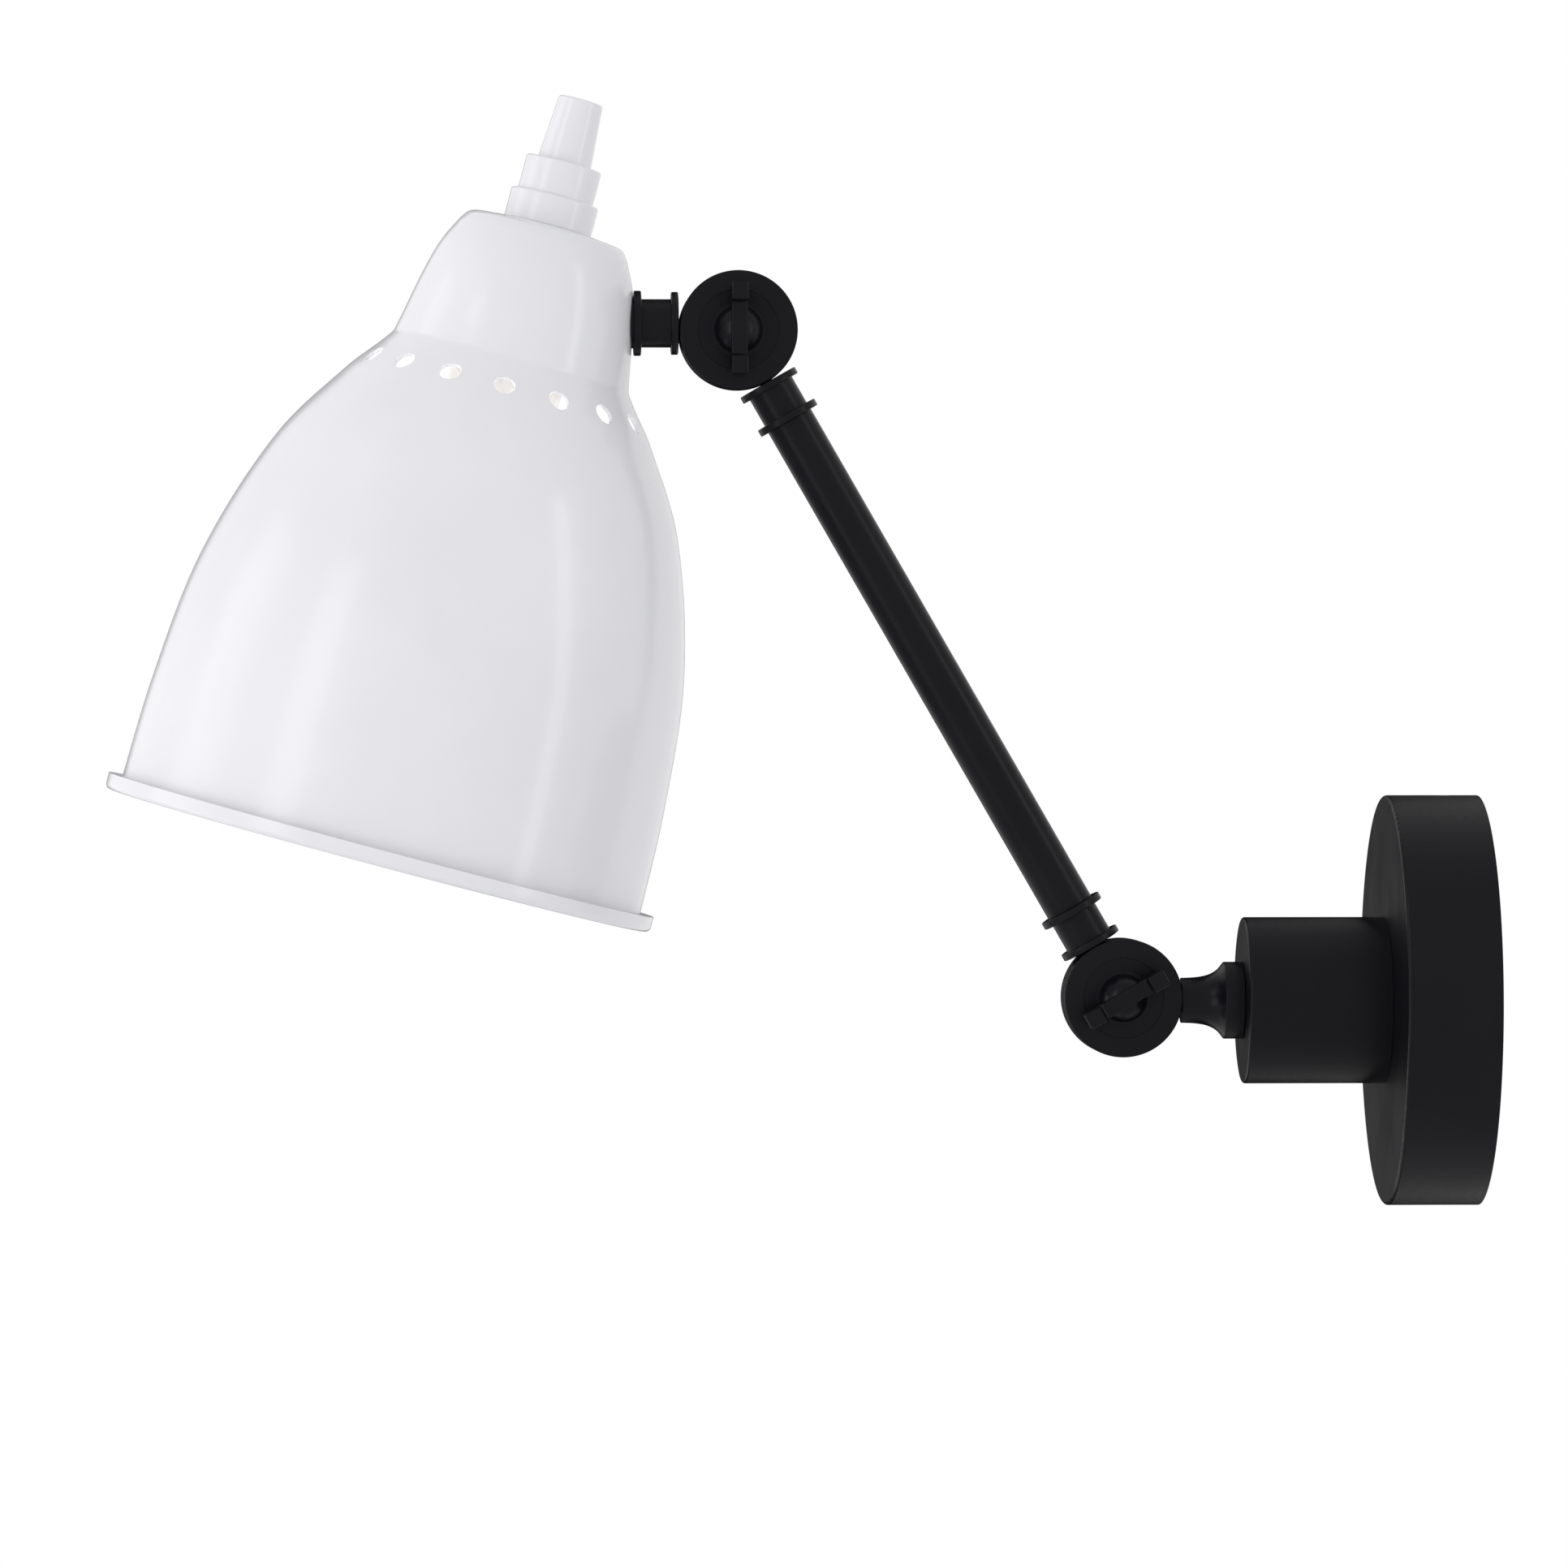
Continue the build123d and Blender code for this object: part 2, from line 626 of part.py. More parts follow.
# ---------------------------------------------------------------- wing screws
dish_floor = half_thickness - DISH_DEPTH
dome_base = dish_floor + SPRING_WASHER_THICKNESS


def make_spring_washer(y, z):
    profile = ring(
        WING_SHANK_RADIUS + THREAD_GAP, SPRING_WASHER_RADIUS, dish_floor + RUNNING_GAP, dome_base
    )
    return turned(profile, frame_across(y, z, NEAR))


def make_wing_screw(y, z, wing_angle):
    """A domed screw head with a wing bar across it, whose two ends stand up as ears."""
    across = frame_across(y, z, NEAR)
    dome = across.location * Pos(0, 0, dome_base) * Sphere(
        DOME_RADIUS, arc_size1=0, align=(Align.CENTER, Align.CENTER, Align.MIN)
    )
    shank = rod(WING_SHANK_RADIUS, WING_SHANK_TIP - half_thickness, dome_base, across)
    end = WING_LENGTH / 2
    inner = end - WING_EAR_LENGTH
    side_view = outline(
        (-end, WING_UNDERSIDE), (end, WING_UNDERSIDE), (end, WING_EAR_HEIGHT),
        (inner, WING_EAR_HEIGHT), (inner, WING_MIDDLE_HEIGHT), (-inner, WING_MIDDLE_HEIGHT),
        (-inner, WING_EAR_HEIGHT), (-end, WING_EAR_HEIGHT),
    )
    side_view = rounded(
        side_view, WING_FILLET, (inner, WING_MIDDLE_HEIGHT), (-inner, WING_MIDDLE_HEIGHT)
    )
    wing = extrude(Plane.XZ * side_view, WING_WIDTH / 2, both=True)
    tops = wing.faces().filter_by(Axis.Z).group_by(Axis.Z)[-1]
    wing = chamfer([edge for top in tops for edge in top.edges()], WING_EDGE)
    placed = across.location * Rot(0, 0, wing_angle) * Pos(0, 0, half_thickness) * wing
    return dome + placed + shank


# ---------------------------------------------------------------- arm
def make_collar(frame):
    """A turned sleeve with a flange at the knuckle and a wider one at its other end."""
    bore = THREAD_RADIUS
    sleeve_start = COLLAR_START + KNUCKLE_FLANGE_WIDTH
    sleeve_end = collar_end - TUBE_FLANGE_WIDTH
    knuckle_flange = ring(bore, KNUCKLE_FLANGE_RADIUS, COLLAR_START, sleeve_start, COLLAR_EDGE)
    sleeve = ring(bore, COLLAR_SLEEVE_RADIUS, sleeve_start, sleeve_end)
    tube_flange = ring(bore, TUBE_FLANGE_RADIUS, sleeve_end, collar_end, COLLAR_EDGE)
    return turned(knuckle_flange + sleeve + tube_flange, frame)


def make_nipple(frame):
    """A hollow threaded tube that joins a collar to the piece beyond it."""
    profile = ring(NIPPLE_BORE, THREAD_RADIUS - THREAD_GAP, NIPPLE_START, NIPPLE_START + NIPPLE_LENGTH)
    return turned(profile, frame)


def make_arm_tube():
    return turned(ring(THREAD_RADIUS, TUBE_RADIUS, collar_end, ARM_LENGTH - collar_end), ARM)


# ---------------------------------------------------------------- shade
def moved_inwards(points, distance):
    """The points of a line that runs outwards and down, moved to its inner side."""
    moved = []
    for index, (x, y) in enumerate(points):
        before = points[max(index - 1, 0)]
        after = points[min(index + 1, len(points) - 1)]
        into = Vector(x - before[0], y - before[1])
        away = Vector(after[0] - x, after[1] - y)
        into = (into if into.length else away).normalized()
        away = (away if away.length else into).normalized()
        along = (into + away).normalized()
        reach = distance / along.dot(away)
        moved.append((x + along.Y * reach, y - along.X * reach))
    return moved


def shade_line(inset):
    """The shade's line from the cap's seat down to the rim, set in from its outer side."""
    hole = (THREAD_RADIUS + FACE_GAP, CAP_SEAT)
    mouth = (MOUTH_RADIUS, RIM_HEIGHT + SHADE_WALL)
    crown = [hole, (CAP_SEAT_RADIUS, CAP_SEAT), TOP_CORNER]
    neck = [NECK_TOP, NECK_UPPER, NECK_MIDDLE, NECK_FOOT]
    bell = [BELL_TOP, BELL_SHOULDER, BELL_UPPER, BELL_MIDDLE, BELL_LOWER, mouth]
    points = moved_inwards([*crown, *neck, SHOULDER, *bell], inset)
    neck_start = len(crown)
    neck_end = neck_start + len(neck)
    top_line = Polyline(*points[:neck_start + 1])
    neck_line = Spline(*points[neck_start:neck_end])
    shoulder_line = Polyline(*points[neck_end - 1:neck_end + 2])
    bell_line = Spline(*points[neck_end + 1:])
    line = Wire([*top_line.edges(), *neck_line.edges(), *shoulder_line.edges(), *bell_line.edges()])
    rounds = ((points[neck_start - 1], TOP_ROUND - inset), (points[neck_end], SHOULDER_ROUND + inset))
    for (x, y), radius in rounds:
        line = line.fillet_2d(radius, [line.vertices().sort_by_distance((x, y, 0))[0]])
    return line


def shade_profile():
    """The shade's sheet between its outer and inner lines, and the turned-up rim."""
    outer = shade_line(0)
    inner = shade_line(SHADE_WALL)
    ends = [Line(outer @ 0, inner @ 0), Line(outer @ 1, inner @ 1)]
    sheet = make_face([*outer.edges(), *inner.edges(), *ends])
    rim_radius = MOUTH_RADIUS + RIM_SHELF
    lip_inside = rim_radius - SHADE_WALL
    mouth_inside = MOUTH_RADIUS - SHADE_WALL
    lip_top = RIM_HEIGHT + RIM_LIP_HEIGHT
    shelf = RIM_HEIGHT + SHADE_WALL
    rim = outline(
        (mouth_inside, RIM_HEIGHT), (rim_radius, RIM_HEIGHT), (rim_radius, lip_top),
        (lip_inside, lip_top), (lip_inside, shelf), (mouth_inside, shelf),
    )
    return sheet + rounded(rim, RIM_ROUND, (rim_radius, RIM_HEIGHT))


def shade_volume(inset, place):
    """All the space inside the shade's line, as a solid: its outer side or its inner one."""
    line = shade_line(inset)
    top = line @ 0
    mouth = line @ 1
    closing = Polyline((mouth.X, mouth.Y), (0, mouth.Y), (0, top.Y), (top.X, top.Y))
    return turned(make_face([*line.edges(), *closing.edges()]), place)


def neck_reach():
    """From the neck's outside to the point above the shade's origin, along the head's axis."""
    height = SHADE_DROP + HEAD_RISE
    level = Edge.make_line((0, 0, height), (0, MOUTH_RADIUS, height))
    inside = level & shade_volume(0, frame_along(0, 0, UPWARDS - SHADE_TILT))
    return inside.edge().length


neck_face = collar_end + SADDLE_WAIST
neck_nut_base = neck_face + SHADE_WALL + INNER_SADDLE_HEIGHT
shade_reach = neck_face + neck_reach()
SHADE = frame_along(upper_pivot_y - shade_reach, upper_pivot_z - SHADE_DROP, UPWARDS - SHADE_TILT)


def head_from_shade():
    """The head's frame, as it lies in the shade's own frame."""
    shade = frame_along(0, 0, UPWARDS - SHADE_TILT)
    head = frame_along(shade_reach, SHADE_DROP + HEAD_RISE, OUTWARDS)
    return Plane(shade.location.inverse() * head.location)


def make_shade():
    """The shade is cut in its own frame and then put in its place."""
    shade = revolve(Plane.XZ * shade_profile(), Axis.Z)
    slope = math.radians(VENT_SLOPE)
    for x, y in around(1.0, VENT_COUNT):
        vent = Plane(
            origin=(x * VENT_CIRCLE_RADIUS, y * VENT_CIRCLE_RADIUS, 0),
            z_dir=(x * math.cos(slope), y * math.cos(slope), math.sin(slope)),
        )
        shade -= vent.location * Cylinder(VENT_RADIUS, 2 * VENT_DRILL_DEPTH)
    shade -= rod(THREAD_RADIUS + FACE_GAP, collar_end, shade_reach, head_from_shade())
    return SHADE.location * shade


def make_neck_saddle():
    """The boss between the collar's flat end and the neck's round wall."""
    boss = turned(ring(THREAD_RADIUS + FACE_GAP, SADDLE_RADIUS, collar_end, shade_reach), HEAD)
    return boss - shade_volume(0, SHADE)


def make_inner_saddle():
    """A washer with one side curved like the neck's inside and one side flat."""
    profile = ring(THREAD_RADIUS + FACE_GAP, INNER_SADDLE_RADIUS, collar_end, neck_nut_base)
    return turned(profile, HEAD) & shade_volume(SHADE_WALL, SHADE)


def make_neck_nut():
    return hex_nut(neck_nut_base, THREAD_RADIUS + THREAD_GAP, HEAD)


def make_head_nipple():
    end = neck_nut_base + NUT_HEIGHT + THREAD_TAIL
    return turned(ring(NIPPLE_BORE, THREAD_RADIUS - THREAD_GAP, NIPPLE_START, end), HEAD)


# ---------------------------------------------------------------- cap
cap_step = CAP_SEAT + CAP_LOWER_HEIGHT
cap_top = cap_step + CAP_UPPER_HEIGHT
cone_top = cap_top + CONE_HEIGHT


def make_shade_cap():
    profile = outline(
        (THREAD_RADIUS, CAP_SEAT), (CAP_LOWER_RADIUS, CAP_SEAT), (CAP_LOWER_RADIUS, cap_step),
        (CAP_UPPER_RADIUS, cap_step), (CAP_UPPER_RADIUS, cap_top), (THREAD_RADIUS, cap_top),
    )
    profile = rounded(profile, CAP_EDGE, (CAP_LOWER_RADIUS, cap_step), (CAP_UPPER_RADIUS, cap_top))
    return turned(profile, SHADE)


def make_cap_cone():
    """A tapered sleeve on a threaded spigot, blind at its top."""
    profile = outline(
        (0, cone_top), (CONE_TOP_RADIUS, cone_top), (CONE_BASE_RADIUS, cap_top),
        (THREAD_RADIUS - THREAD_GAP, cap_top), (THREAD_RADIUS - THREAD_GAP, cap_top - CONE_SPIGOT_LENGTH),
        (STEM_BORE, cap_top - CONE_SPIGOT_LENGTH), (STEM_BORE, cap_top + CONE_BORE_DEPTH),
        (0, cap_top + CONE_BORE_DEPTH),
    )
    return turned(rounded(profile, CAP_EDGE, (CONE_TOP_RADIUS, cone_top)), SHADE)


# ---------------------------------------------------------------- lamp holder and bulb
plate_inside = CAP_SEAT - SHADE_WALL
holder_washer_base = plate_inside - HOLDER_WASHER_THICKNESS
holder_nut_base = holder_washer_base - NUT_HEIGHT
holder_dome_top = holder_nut_base - FACE_GAP
holder_dome_base = holder_dome_top - HOLDER_DOME_HEIGHT
skirt_base = holder_dome_base - HOLDER_SKIRT_LENGTH
insert_base = holder_dome_base - INSERT_HEIGHT
contact_base = insert_base - CONTACT_RISE
bulb_tip = contact_base - RUNNING_GAP
bulb_cap_top = bulb_tip - BULB_TIP_HEIGHT
bulb_cap_base = bulb_cap_top - BULB_CAP_LENGTH
bulb_base = bulb_cap_base - BULB_GLASS_LENGTH


def make_holder_nipple():
    profile = ring(
        NIPPLE_BORE, THREAD_RADIUS - THREAD_GAP, plate_inside - HOLDER_NIPPLE_DROP,
        cap_top - CONE_SPIGOT_LENGTH - FACE_GAP,
    )
    return turned(profile, SHADE)


def make_holder_washer():
    outer = CAP_SEAT_RADIUS - HOLDER_WASHER_MARGIN
    profile = ring(THREAD_RADIUS + THREAD_GAP, outer, holder_washer_base, plate_inside)
    return turned(profile, SHADE)


def make_holder_nut():
    return hex_nut(holder_nut_base, THREAD_RADIUS + THREAD_GAP, SHADE)


def make_holder_dome():
    """The holder's threaded top: a bored neck over a domed shell."""
    neck_base = holder_dome_top - THREAD_RADIUS
    inside = HOLDER_DOME_RADIUS - HOLDER_WALL
    profile = outline(
        (THREAD_RADIUS, holder_dome_top), (HOLDER_NECK_RADIUS, holder_dome_top),
        (HOLDER_NECK_RADIUS, neck_base), (HOLDER_DOME_RADIUS, neck_base),
        (HOLDER_DOME_RADIUS, holder_dome_base), (inside, holder_dome_base),
        (inside, neck_base - HOLDER_WALL), (THREAD_RADIUS, neck_base - HOLDER_WALL),
    )
    return turned(rounded(profile, HOLDER_WALL, (HOLDER_DOME_RADIUS, neck_base)), SHADE)


def make_holder_skirt():
    """The holder's outer shell, with a lip at its mouth."""
    inside = HOLDER_SKIRT_RADIUS - HOLDER_WALL
    profile = outline(
        (inside, holder_dome_base), (HOLDER_SKIRT_RADIUS, holder_dome_base),
        (HOLDER_SKIRT_RADIUS, skirt_base + HOLDER_LIP_HEIGHT),
        (HOLDER_LIP_RADIUS, skirt_base + HOLDER_LIP_HEIGHT), (HOLDER_LIP_RADIUS, skirt_base),
        (inside, skirt_base),
    )
    return turned(profile, SHADE)


def make_holder_insert():
    """The insulating disc across the holder that carries the centre contact."""
    outer = HOLDER_SKIRT_RADIUS - HOLDER_WALL - THREAD_GAP
    return turned(ring(CONTACT_RADIUS / 2, outer, insert_base, holder_dome_base), SHADE)


def make_threaded_shell():
    """The holder's screw shell, hung from the insulating disc round the bulb's cap."""
    inner = BULB_CAP_RADIUS + RUNNING_GAP
    outer = inner + HOLDER_WALL / 2
    return turned(ring(inner, outer, bulb_cap_base + BULB_NECK_LENGTH, insert_base), SHADE)


def make_centre_contact():
    disc = turned(ring(0, CONTACT_RADIUS, contact_base, contact_base + CONTACT_THICKNESS), SHADE)
    stem = rod(CONTACT_RADIUS / 2 - THREAD_GAP, contact_base, holder_dome_base, SHADE)
    return disc + stem


def make_bulb_cap():
    cap = rod(BULB_CAP_RADIUS, bulb_cap_base, bulb_cap_top, SHADE)
    return cap + rod(BULB_TIP_RADIUS, bulb_cap_top, bulb_tip, SHADE)


def bulb_outline(inset):
    """Half the bulb's outline: a round globe drawn in to a neck at the cap."""
    radius = BULB_RADIUS - inset
    centre = bulb_base + BULB_RADIUS
    neck = BULB_NECK_RADIUS - inset
    waist = bulb_cap_base - BULB_NECK_LENGTH
    shoulder_angle = math.radians(UPWARDS / 2)
    shoulder = (radius * math.cos(shoulder_angle), centre + radius * math.sin(shoulder_angle))
    globe = ThreePointArc((0, centre - radius), (radius, centre), shoulder)
    side = Spline(shoulder, (neck, waist), tangents=(globe % 1, Vector(0, 1)))
    closing = Polyline((neck, waist), (neck, bulb_cap_base), (0, bulb_cap_base), (0, centre - radius))
    return make_face([*globe.edges(), *side.edges(), *closing.edges()])


def make_bulb_glass():
    return turned(bulb_outline(0) - bulb_outline(BULB_GLASS_WALL), SHADE)


# ---------------------------------------------------------------- build
def make_parts():
    lower = (lower_pivot_y, lower_pivot_z)
    upper = (upper_pivot_y, upper_pivot_z)
    return {
        "canopy": make_canopy(),
        "wall_bracket": make_wall_bracket(),
        "canopy_screws": make_canopy_screws(),
        "terminal_block": make_terminal_block(),
        "terminal_screws": make_terminal_screws(),
        "block_screws": make_block_screws(),
        "earth_washer": make_earth_washer(),
        "earth_screw": make_earth_screw(),
        "barrel": make_barrel(),
        "barrel_screws": make_barrel_screws(),
        "swivel_bush": make_swivel_bush(),
        "stop_pin": make_stop_pin(),
        "stop_washer": make_stop_washer(),
        "swivel_nut": make_swivel_nut(),
        "base_stem": make_base_stem(),
        "lower_knuckle_base": make_lower_knuckle_base(),
        "lower_knuckle_arm": make_lower_knuckle_arm(),
        "lower_friction_washer": make_friction_washer(*lower),
        "lower_spring_washer": make_spring_washer(*lower),
        "lower_wing_screw": make_wing_screw(*lower, LOWER_WING_ANGLE),
        "lower_collar": make_collar(ARM),
        "lower_nipple": make_nipple(ARM),
        "arm_tube": make_arm_tube(),
        "upper_nipple": make_nipple(ARM_BACK),
        "upper_collar": make_collar(ARM_BACK),
        "upper_knuckle_arm": make_upper_knuckle_arm(),
        "upper_knuckle_head": make_upper_knuckle_head(),
        "upper_friction_washer": make_friction_washer(*upper),
        "upper_spring_washer": make_spring_washer(*upper),
        "upper_wing_screw": make_wing_screw(*upper, UPPER_WING_ANGLE),
        "head_collar": make_collar(HEAD),
        "head_nipple": make_head_nipple(),
        "neck_saddle": make_neck_saddle(),
        "inner_saddle": make_inner_saddle(),
        "neck_nut": make_neck_nut(),
        "shade": make_shade(),
        "shade_cap": make_shade_cap(),
        "cap_cone": make_cap_cone(),
        "holder_nipple": make_holder_nipple(),
        "holder_washer": make_holder_washer(),
        "holder_nut": make_holder_nut(),
        "holder_dome": make_holder_dome(),
        "holder_skirt": make_holder_skirt(),
        "holder_insert": make_holder_insert(),
        "threaded_shell": make_threaded_shell(),
        "centre_contact": make_centre_contact(),
        "bulb_cap": make_bulb_cap(),
        "bulb_glass": make_bulb_glass(),
    }


os.makedirs("parts", exist_ok=True)
for name, shape in make_parts().items():
    export_step(shape, f"parts/{name}.step")
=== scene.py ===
"""Articulating wall lamp: visual pieces, finishes and stage, laid out as an add-on.

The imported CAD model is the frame. Lengths in the sizes are metres; the profiles of
turned pieces are (radius, height) in millimetres about the axis they are turned on.
"""

import json
import math

import bmesh
import bpy
from bpy.props import FloatProperty, FloatVectorProperty, IntProperty, PointerProperty
from mathutils import Matrix, Vector
from mathutils.geometry import interpolate_bezier


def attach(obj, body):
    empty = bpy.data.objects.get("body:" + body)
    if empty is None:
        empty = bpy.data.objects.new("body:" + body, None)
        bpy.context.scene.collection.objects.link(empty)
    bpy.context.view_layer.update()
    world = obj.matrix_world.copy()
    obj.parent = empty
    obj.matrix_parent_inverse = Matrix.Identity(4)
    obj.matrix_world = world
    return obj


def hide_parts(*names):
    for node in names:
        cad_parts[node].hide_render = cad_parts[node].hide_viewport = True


bl_info = {
    "name": "Articulating Wall Lamp",
    "version": (1, 0, 0),
    "blender": (4, 5, 0),
    "location": "View3D > Sidebar > Lamp",
    "description": "Turned, pressed and sprayed pieces of a wall lamp on its packed frame",
    "category": "Add Mesh",
}

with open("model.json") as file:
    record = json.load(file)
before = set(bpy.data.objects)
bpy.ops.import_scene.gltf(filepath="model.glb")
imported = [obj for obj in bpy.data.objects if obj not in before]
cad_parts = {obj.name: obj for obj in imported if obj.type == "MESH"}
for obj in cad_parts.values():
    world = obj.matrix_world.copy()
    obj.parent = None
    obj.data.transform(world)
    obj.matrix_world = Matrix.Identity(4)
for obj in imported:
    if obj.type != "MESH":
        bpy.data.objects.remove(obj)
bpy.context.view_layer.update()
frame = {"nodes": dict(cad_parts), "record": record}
PIVOTS = {
    joint["name"]: Vector(joint["pos_m"])
    for joint in frame["record"]["behaviour"]["joints"]
}
MM = 0.001
UP = 90.0
OUT = 180.0
NEAR = 1
FAR = -1

# Sizes that several pieces share, in millimetres, as in the CAD model
THREAD_RADIUS = 5.0
FACE_GAP = 0.1
COLLAR_START = 14.5
COLLAR_END = 25.3
HEAD_RISE = 1.7
SHADE_REACH = 56.953
SHADE_DROP = 15.0
CAP_SEAT = 41.5
RIM_BASE = -117.6
VENT_CIRCLE = 35.1


# ---------------------------------------------------------------- sizes and colours
def length(name, description, default):
    return FloatProperty(
        name=name, description=description, default=default, min=0.0, unit="LENGTH", precision=5
    )


def colour(name, description, default):
    return FloatVectorProperty(
        name=name, description=description, default=default, min=0.0, max=1.0, size=3,
        subtype="COLOR",
    )


class LampSizes(bpy.types.PropertyGroup):
    """Sizes of the pieces that are drawn over the frame."""

    canopy_depth: length("Canopy depth", "How far the canopy stands off the wall", 0.0227)
    barrel_radius: length("Barrel radius", "Outside of the barrel on the canopy", 0.02028)
    barrel_end: length("Barrel end", "From the wall to the barrel's outer face", 0.0574)
    knuckle_radius: length("Knuckle radius", "Outside of a half drum", 0.0144)
    knuckle_thickness: length("Knuckle thickness", "Across both half drums", 0.0127)
    tube_radius: length("Tube radius", "Outside of the arm tube", 0.00596)
    arm_length: length("Arm length", "Between the two pivots", 0.1873)
    arm_angle: FloatProperty(
        name="Arm angle", description="From the wall's normal up to the arm",
        default=math.radians(120.0), subtype="ANGLE",
    )
    shade_tilt: FloatProperty(
        name="Shade tilt", description="Lean of the shade's axis at rest",
        default=math.radians(15.0), subtype="ANGLE",
    )
    shade_wall: length("Shade wall", "Thickness of the spun sheet", 0.001)
    vent_radius: length("Vent radius", "Radius of a vent hole", 0.00265)
    vent_count: IntProperty(name="Vents", description="Holes round the shade", default=16, min=4)
    wing_length: length("Wing length", "Across a wing screw", 0.0219)
    bulb_radius: length("Bulb radius", "Radius of the bulb's globe", 0.0225)


class LampFinishes(bpy.types.PropertyGroup):
    """Colours of the finishes and the bulb's light."""

    coat: colour("Black coat", "Satin powder coat", (0.0032, 0.0031, 0.0050))
    coat_worn: colour(
        "Coat, handled", "Where hands have polished the coat", (0.0052, 0.0050, 0.0074)
    )
    enamel: colour("White enamel", "Gloss enamel of the shade", (0.82, 0.82, 0.85))
    enamel_cloud: colour("Enamel cloud", "Faint unevenness of the enamel", (0.78, 0.78, 0.815))
    zinc: colour("Zinc plate", "Bright plated steel", (0.56, 0.57, 0.59))
    zinc_dark: colour("Zinc shadow", "Duller grains of the plate", (0.38, 0.39, 0.41))
    brass: colour("Brass", "Turned brass", (0.72, 0.50, 0.20))
    brass_dark: colour("Brass tarnish", "Older brass in the grooves", (0.42, 0.27, 0.10))
    nylon: colour("White nylon", "Terminal block and bush", (0.76, 0.75, 0.70))
    fibre: colour("Pressed fibre", "Washers between the half drums", (0.13, 0.055, 0.03))
    thermoset: colour("Holder plastic", "Moulded lamp holder", (0.80, 0.79, 0.76))
    steatite: colour("Steatite", "Unglazed insulating disc", (0.74, 0.72, 0.66))
    rolled: colour("Rolled metal", "Bulb cap", (0.72, 0.72, 0.73))
    opal: colour("Opal glass", "Globe of the bulb", (0.90, 0.88, 0.84))
    glow: colour("Bulb light", "Colour of the lit globe", (1.0, 0.965, 0.91))
    glow_strength: FloatProperty(
        name="Bulb strength", description="How brightly the globe shines", default=4.2, min=0.0
    )


class LampStudio(bpy.types.PropertyGroup):
    """Floor, lamps and camera."""

    floor_drop: length("Floor drop", "How far the floor lies under the wall fixing", 0.42)
    floor_radius: length("Floor radius", "Radius of the round floor", 1.1)
    floor: colour("Floor", "Pale floor", (0.86, 0.86, 0.87))
    floor_lift: FloatProperty(
        name="Floor lift", description="How much whiter the camera sees the floor", default=0.28,
        min=0.0,
    )
    room_light: FloatProperty(
        name="Room light", description="Even light from all round", default=0.72, min=0.0
    )
    lens: FloatProperty(name="Lens", description="Focal length in millimetres", default=183.4)


# ---------------------------------------------------------------- places
def sizes():
    return bpy.context.scene.lamp_sizes


def finishes():
    return bpy.context.scene.lamp_finishes


def along(origin, degrees):
    """A place in the lamp's middle plane whose Z runs at an angle from +Y towards +Z."""
    angle = math.radians(degrees)
    x_axis = Vector((1, 0, 0))
    z_axis = Vector((0, math.cos(angle), math.sin(angle)))
    y_axis = z_axis.cross(x_axis)
    turn = Matrix((x_axis, y_axis, z_axis)).transposed().to_4x4()
    return Matrix.Translation(origin) @ turn


def across(origin, side):
    """A place on a pivot whose Z runs out along X, to one side of the lamp."""
    y_axis = Vector((0, 1, 0))
    z_axis = Vector((side, 0, 0))
    turn = Matrix((y_axis, z_axis.cross(y_axis), z_axis)).transposed().to_4x4()
    return Matrix.Translation(origin) @ turn


def wall_place():
    return along((0, 0, 0), OUT)


def arm_place():
    return along(PIVOTS["lower_tilt"], math.degrees(sizes().arm_angle))


def arm_back_place():
    return along(PIVOTS["upper_tilt"], math.degrees(sizes().arm_angle) + OUT)


def head_place():
    return along(PIVOTS["upper_tilt"] + Vector((0, 0, HEAD_RISE * MM)), OUT)


def shade_place():
    origin = PIVOTS["upper_tilt"] + Vector((0, -SHADE_REACH * MM, -SHADE_DROP * MM))
    return along(origin, UP - math.degrees(sizes().shade_tilt))


# ---------------------------------------------------------------- shaping
def evenly(start, end, count):
    """Evenly spaced values, with both ends."""
    return [start + (end - start) * index / (count - 1) for index in range(count)]


def spun(line, steps=128, closed=False):
    """Spin a (radius, height) line in millimetres about Z."""
    bm = bmesh.new()
    verts = [bm.verts.new((radius * MM, 0, height * MM)) for radius, height in line]
    pairs = list(zip(verts, verts[1:]))
    if closed:
        pairs.append((verts[-1], verts[0]))
    edges = [bm.edges.new(pair) for pair in pairs]
    bmesh.ops.spin(
        bm, geom=verts + edges, cent=(0, 0, 0), axis=(0, 0, 1), dvec=(0, 0, 0),
        angle=math.tau, steps=steps, use_merge=True, use_duplicate=False,
    )
    bmesh.ops.remove_doubles(bm, verts=bm.verts, dist=1e-7)
    bmesh.ops.recalc_face_normals(bm, faces=bm.faces)
    return bm


def at_corner(vert, corner, within=0.02):
    """Whether a point of a spun piece lies on the ring of a (radius, height) corner."""
    radius = math.hypot(vert.co.x, vert.co.y) / MM
    return abs(radius - corner[0]) < within and abs(vert.co.z / MM - corner[1]) < within


def rounded(bm, edges, width, segments):
    """Round edges by a width in millimetres."""
    bmesh.ops.bevel(
        bm, geom=edges, offset=width * MM, offset_type="OFFSET", segments=segments,
        profile=0.5, affect="EDGES", clamp_overlap=True, material=-1,
    )
    return bm


def soften(bm, width, *corners, segments=3):
    """Round the rings of a spun piece that stand at the given (radius, height) corners."""
    picked = [
        edge for edge in bm.edges
        if any(all(at_corner(vert, corner) for vert in edge.verts) for corner in corners)
    ]
    return rounded(bm, picked, width, segments)


def soften_sharp(bm, width, angle=40.0, segments=2):
    """Break every edge that is sharper than an angle."""
    limit = math.radians(angle)
    picked = [
        edge for edge in bm.edges if len(edge.link_faces) == 2 and edge.calc_face_angle() > limit
    ]
    return rounded(bm, picked, width, segments)


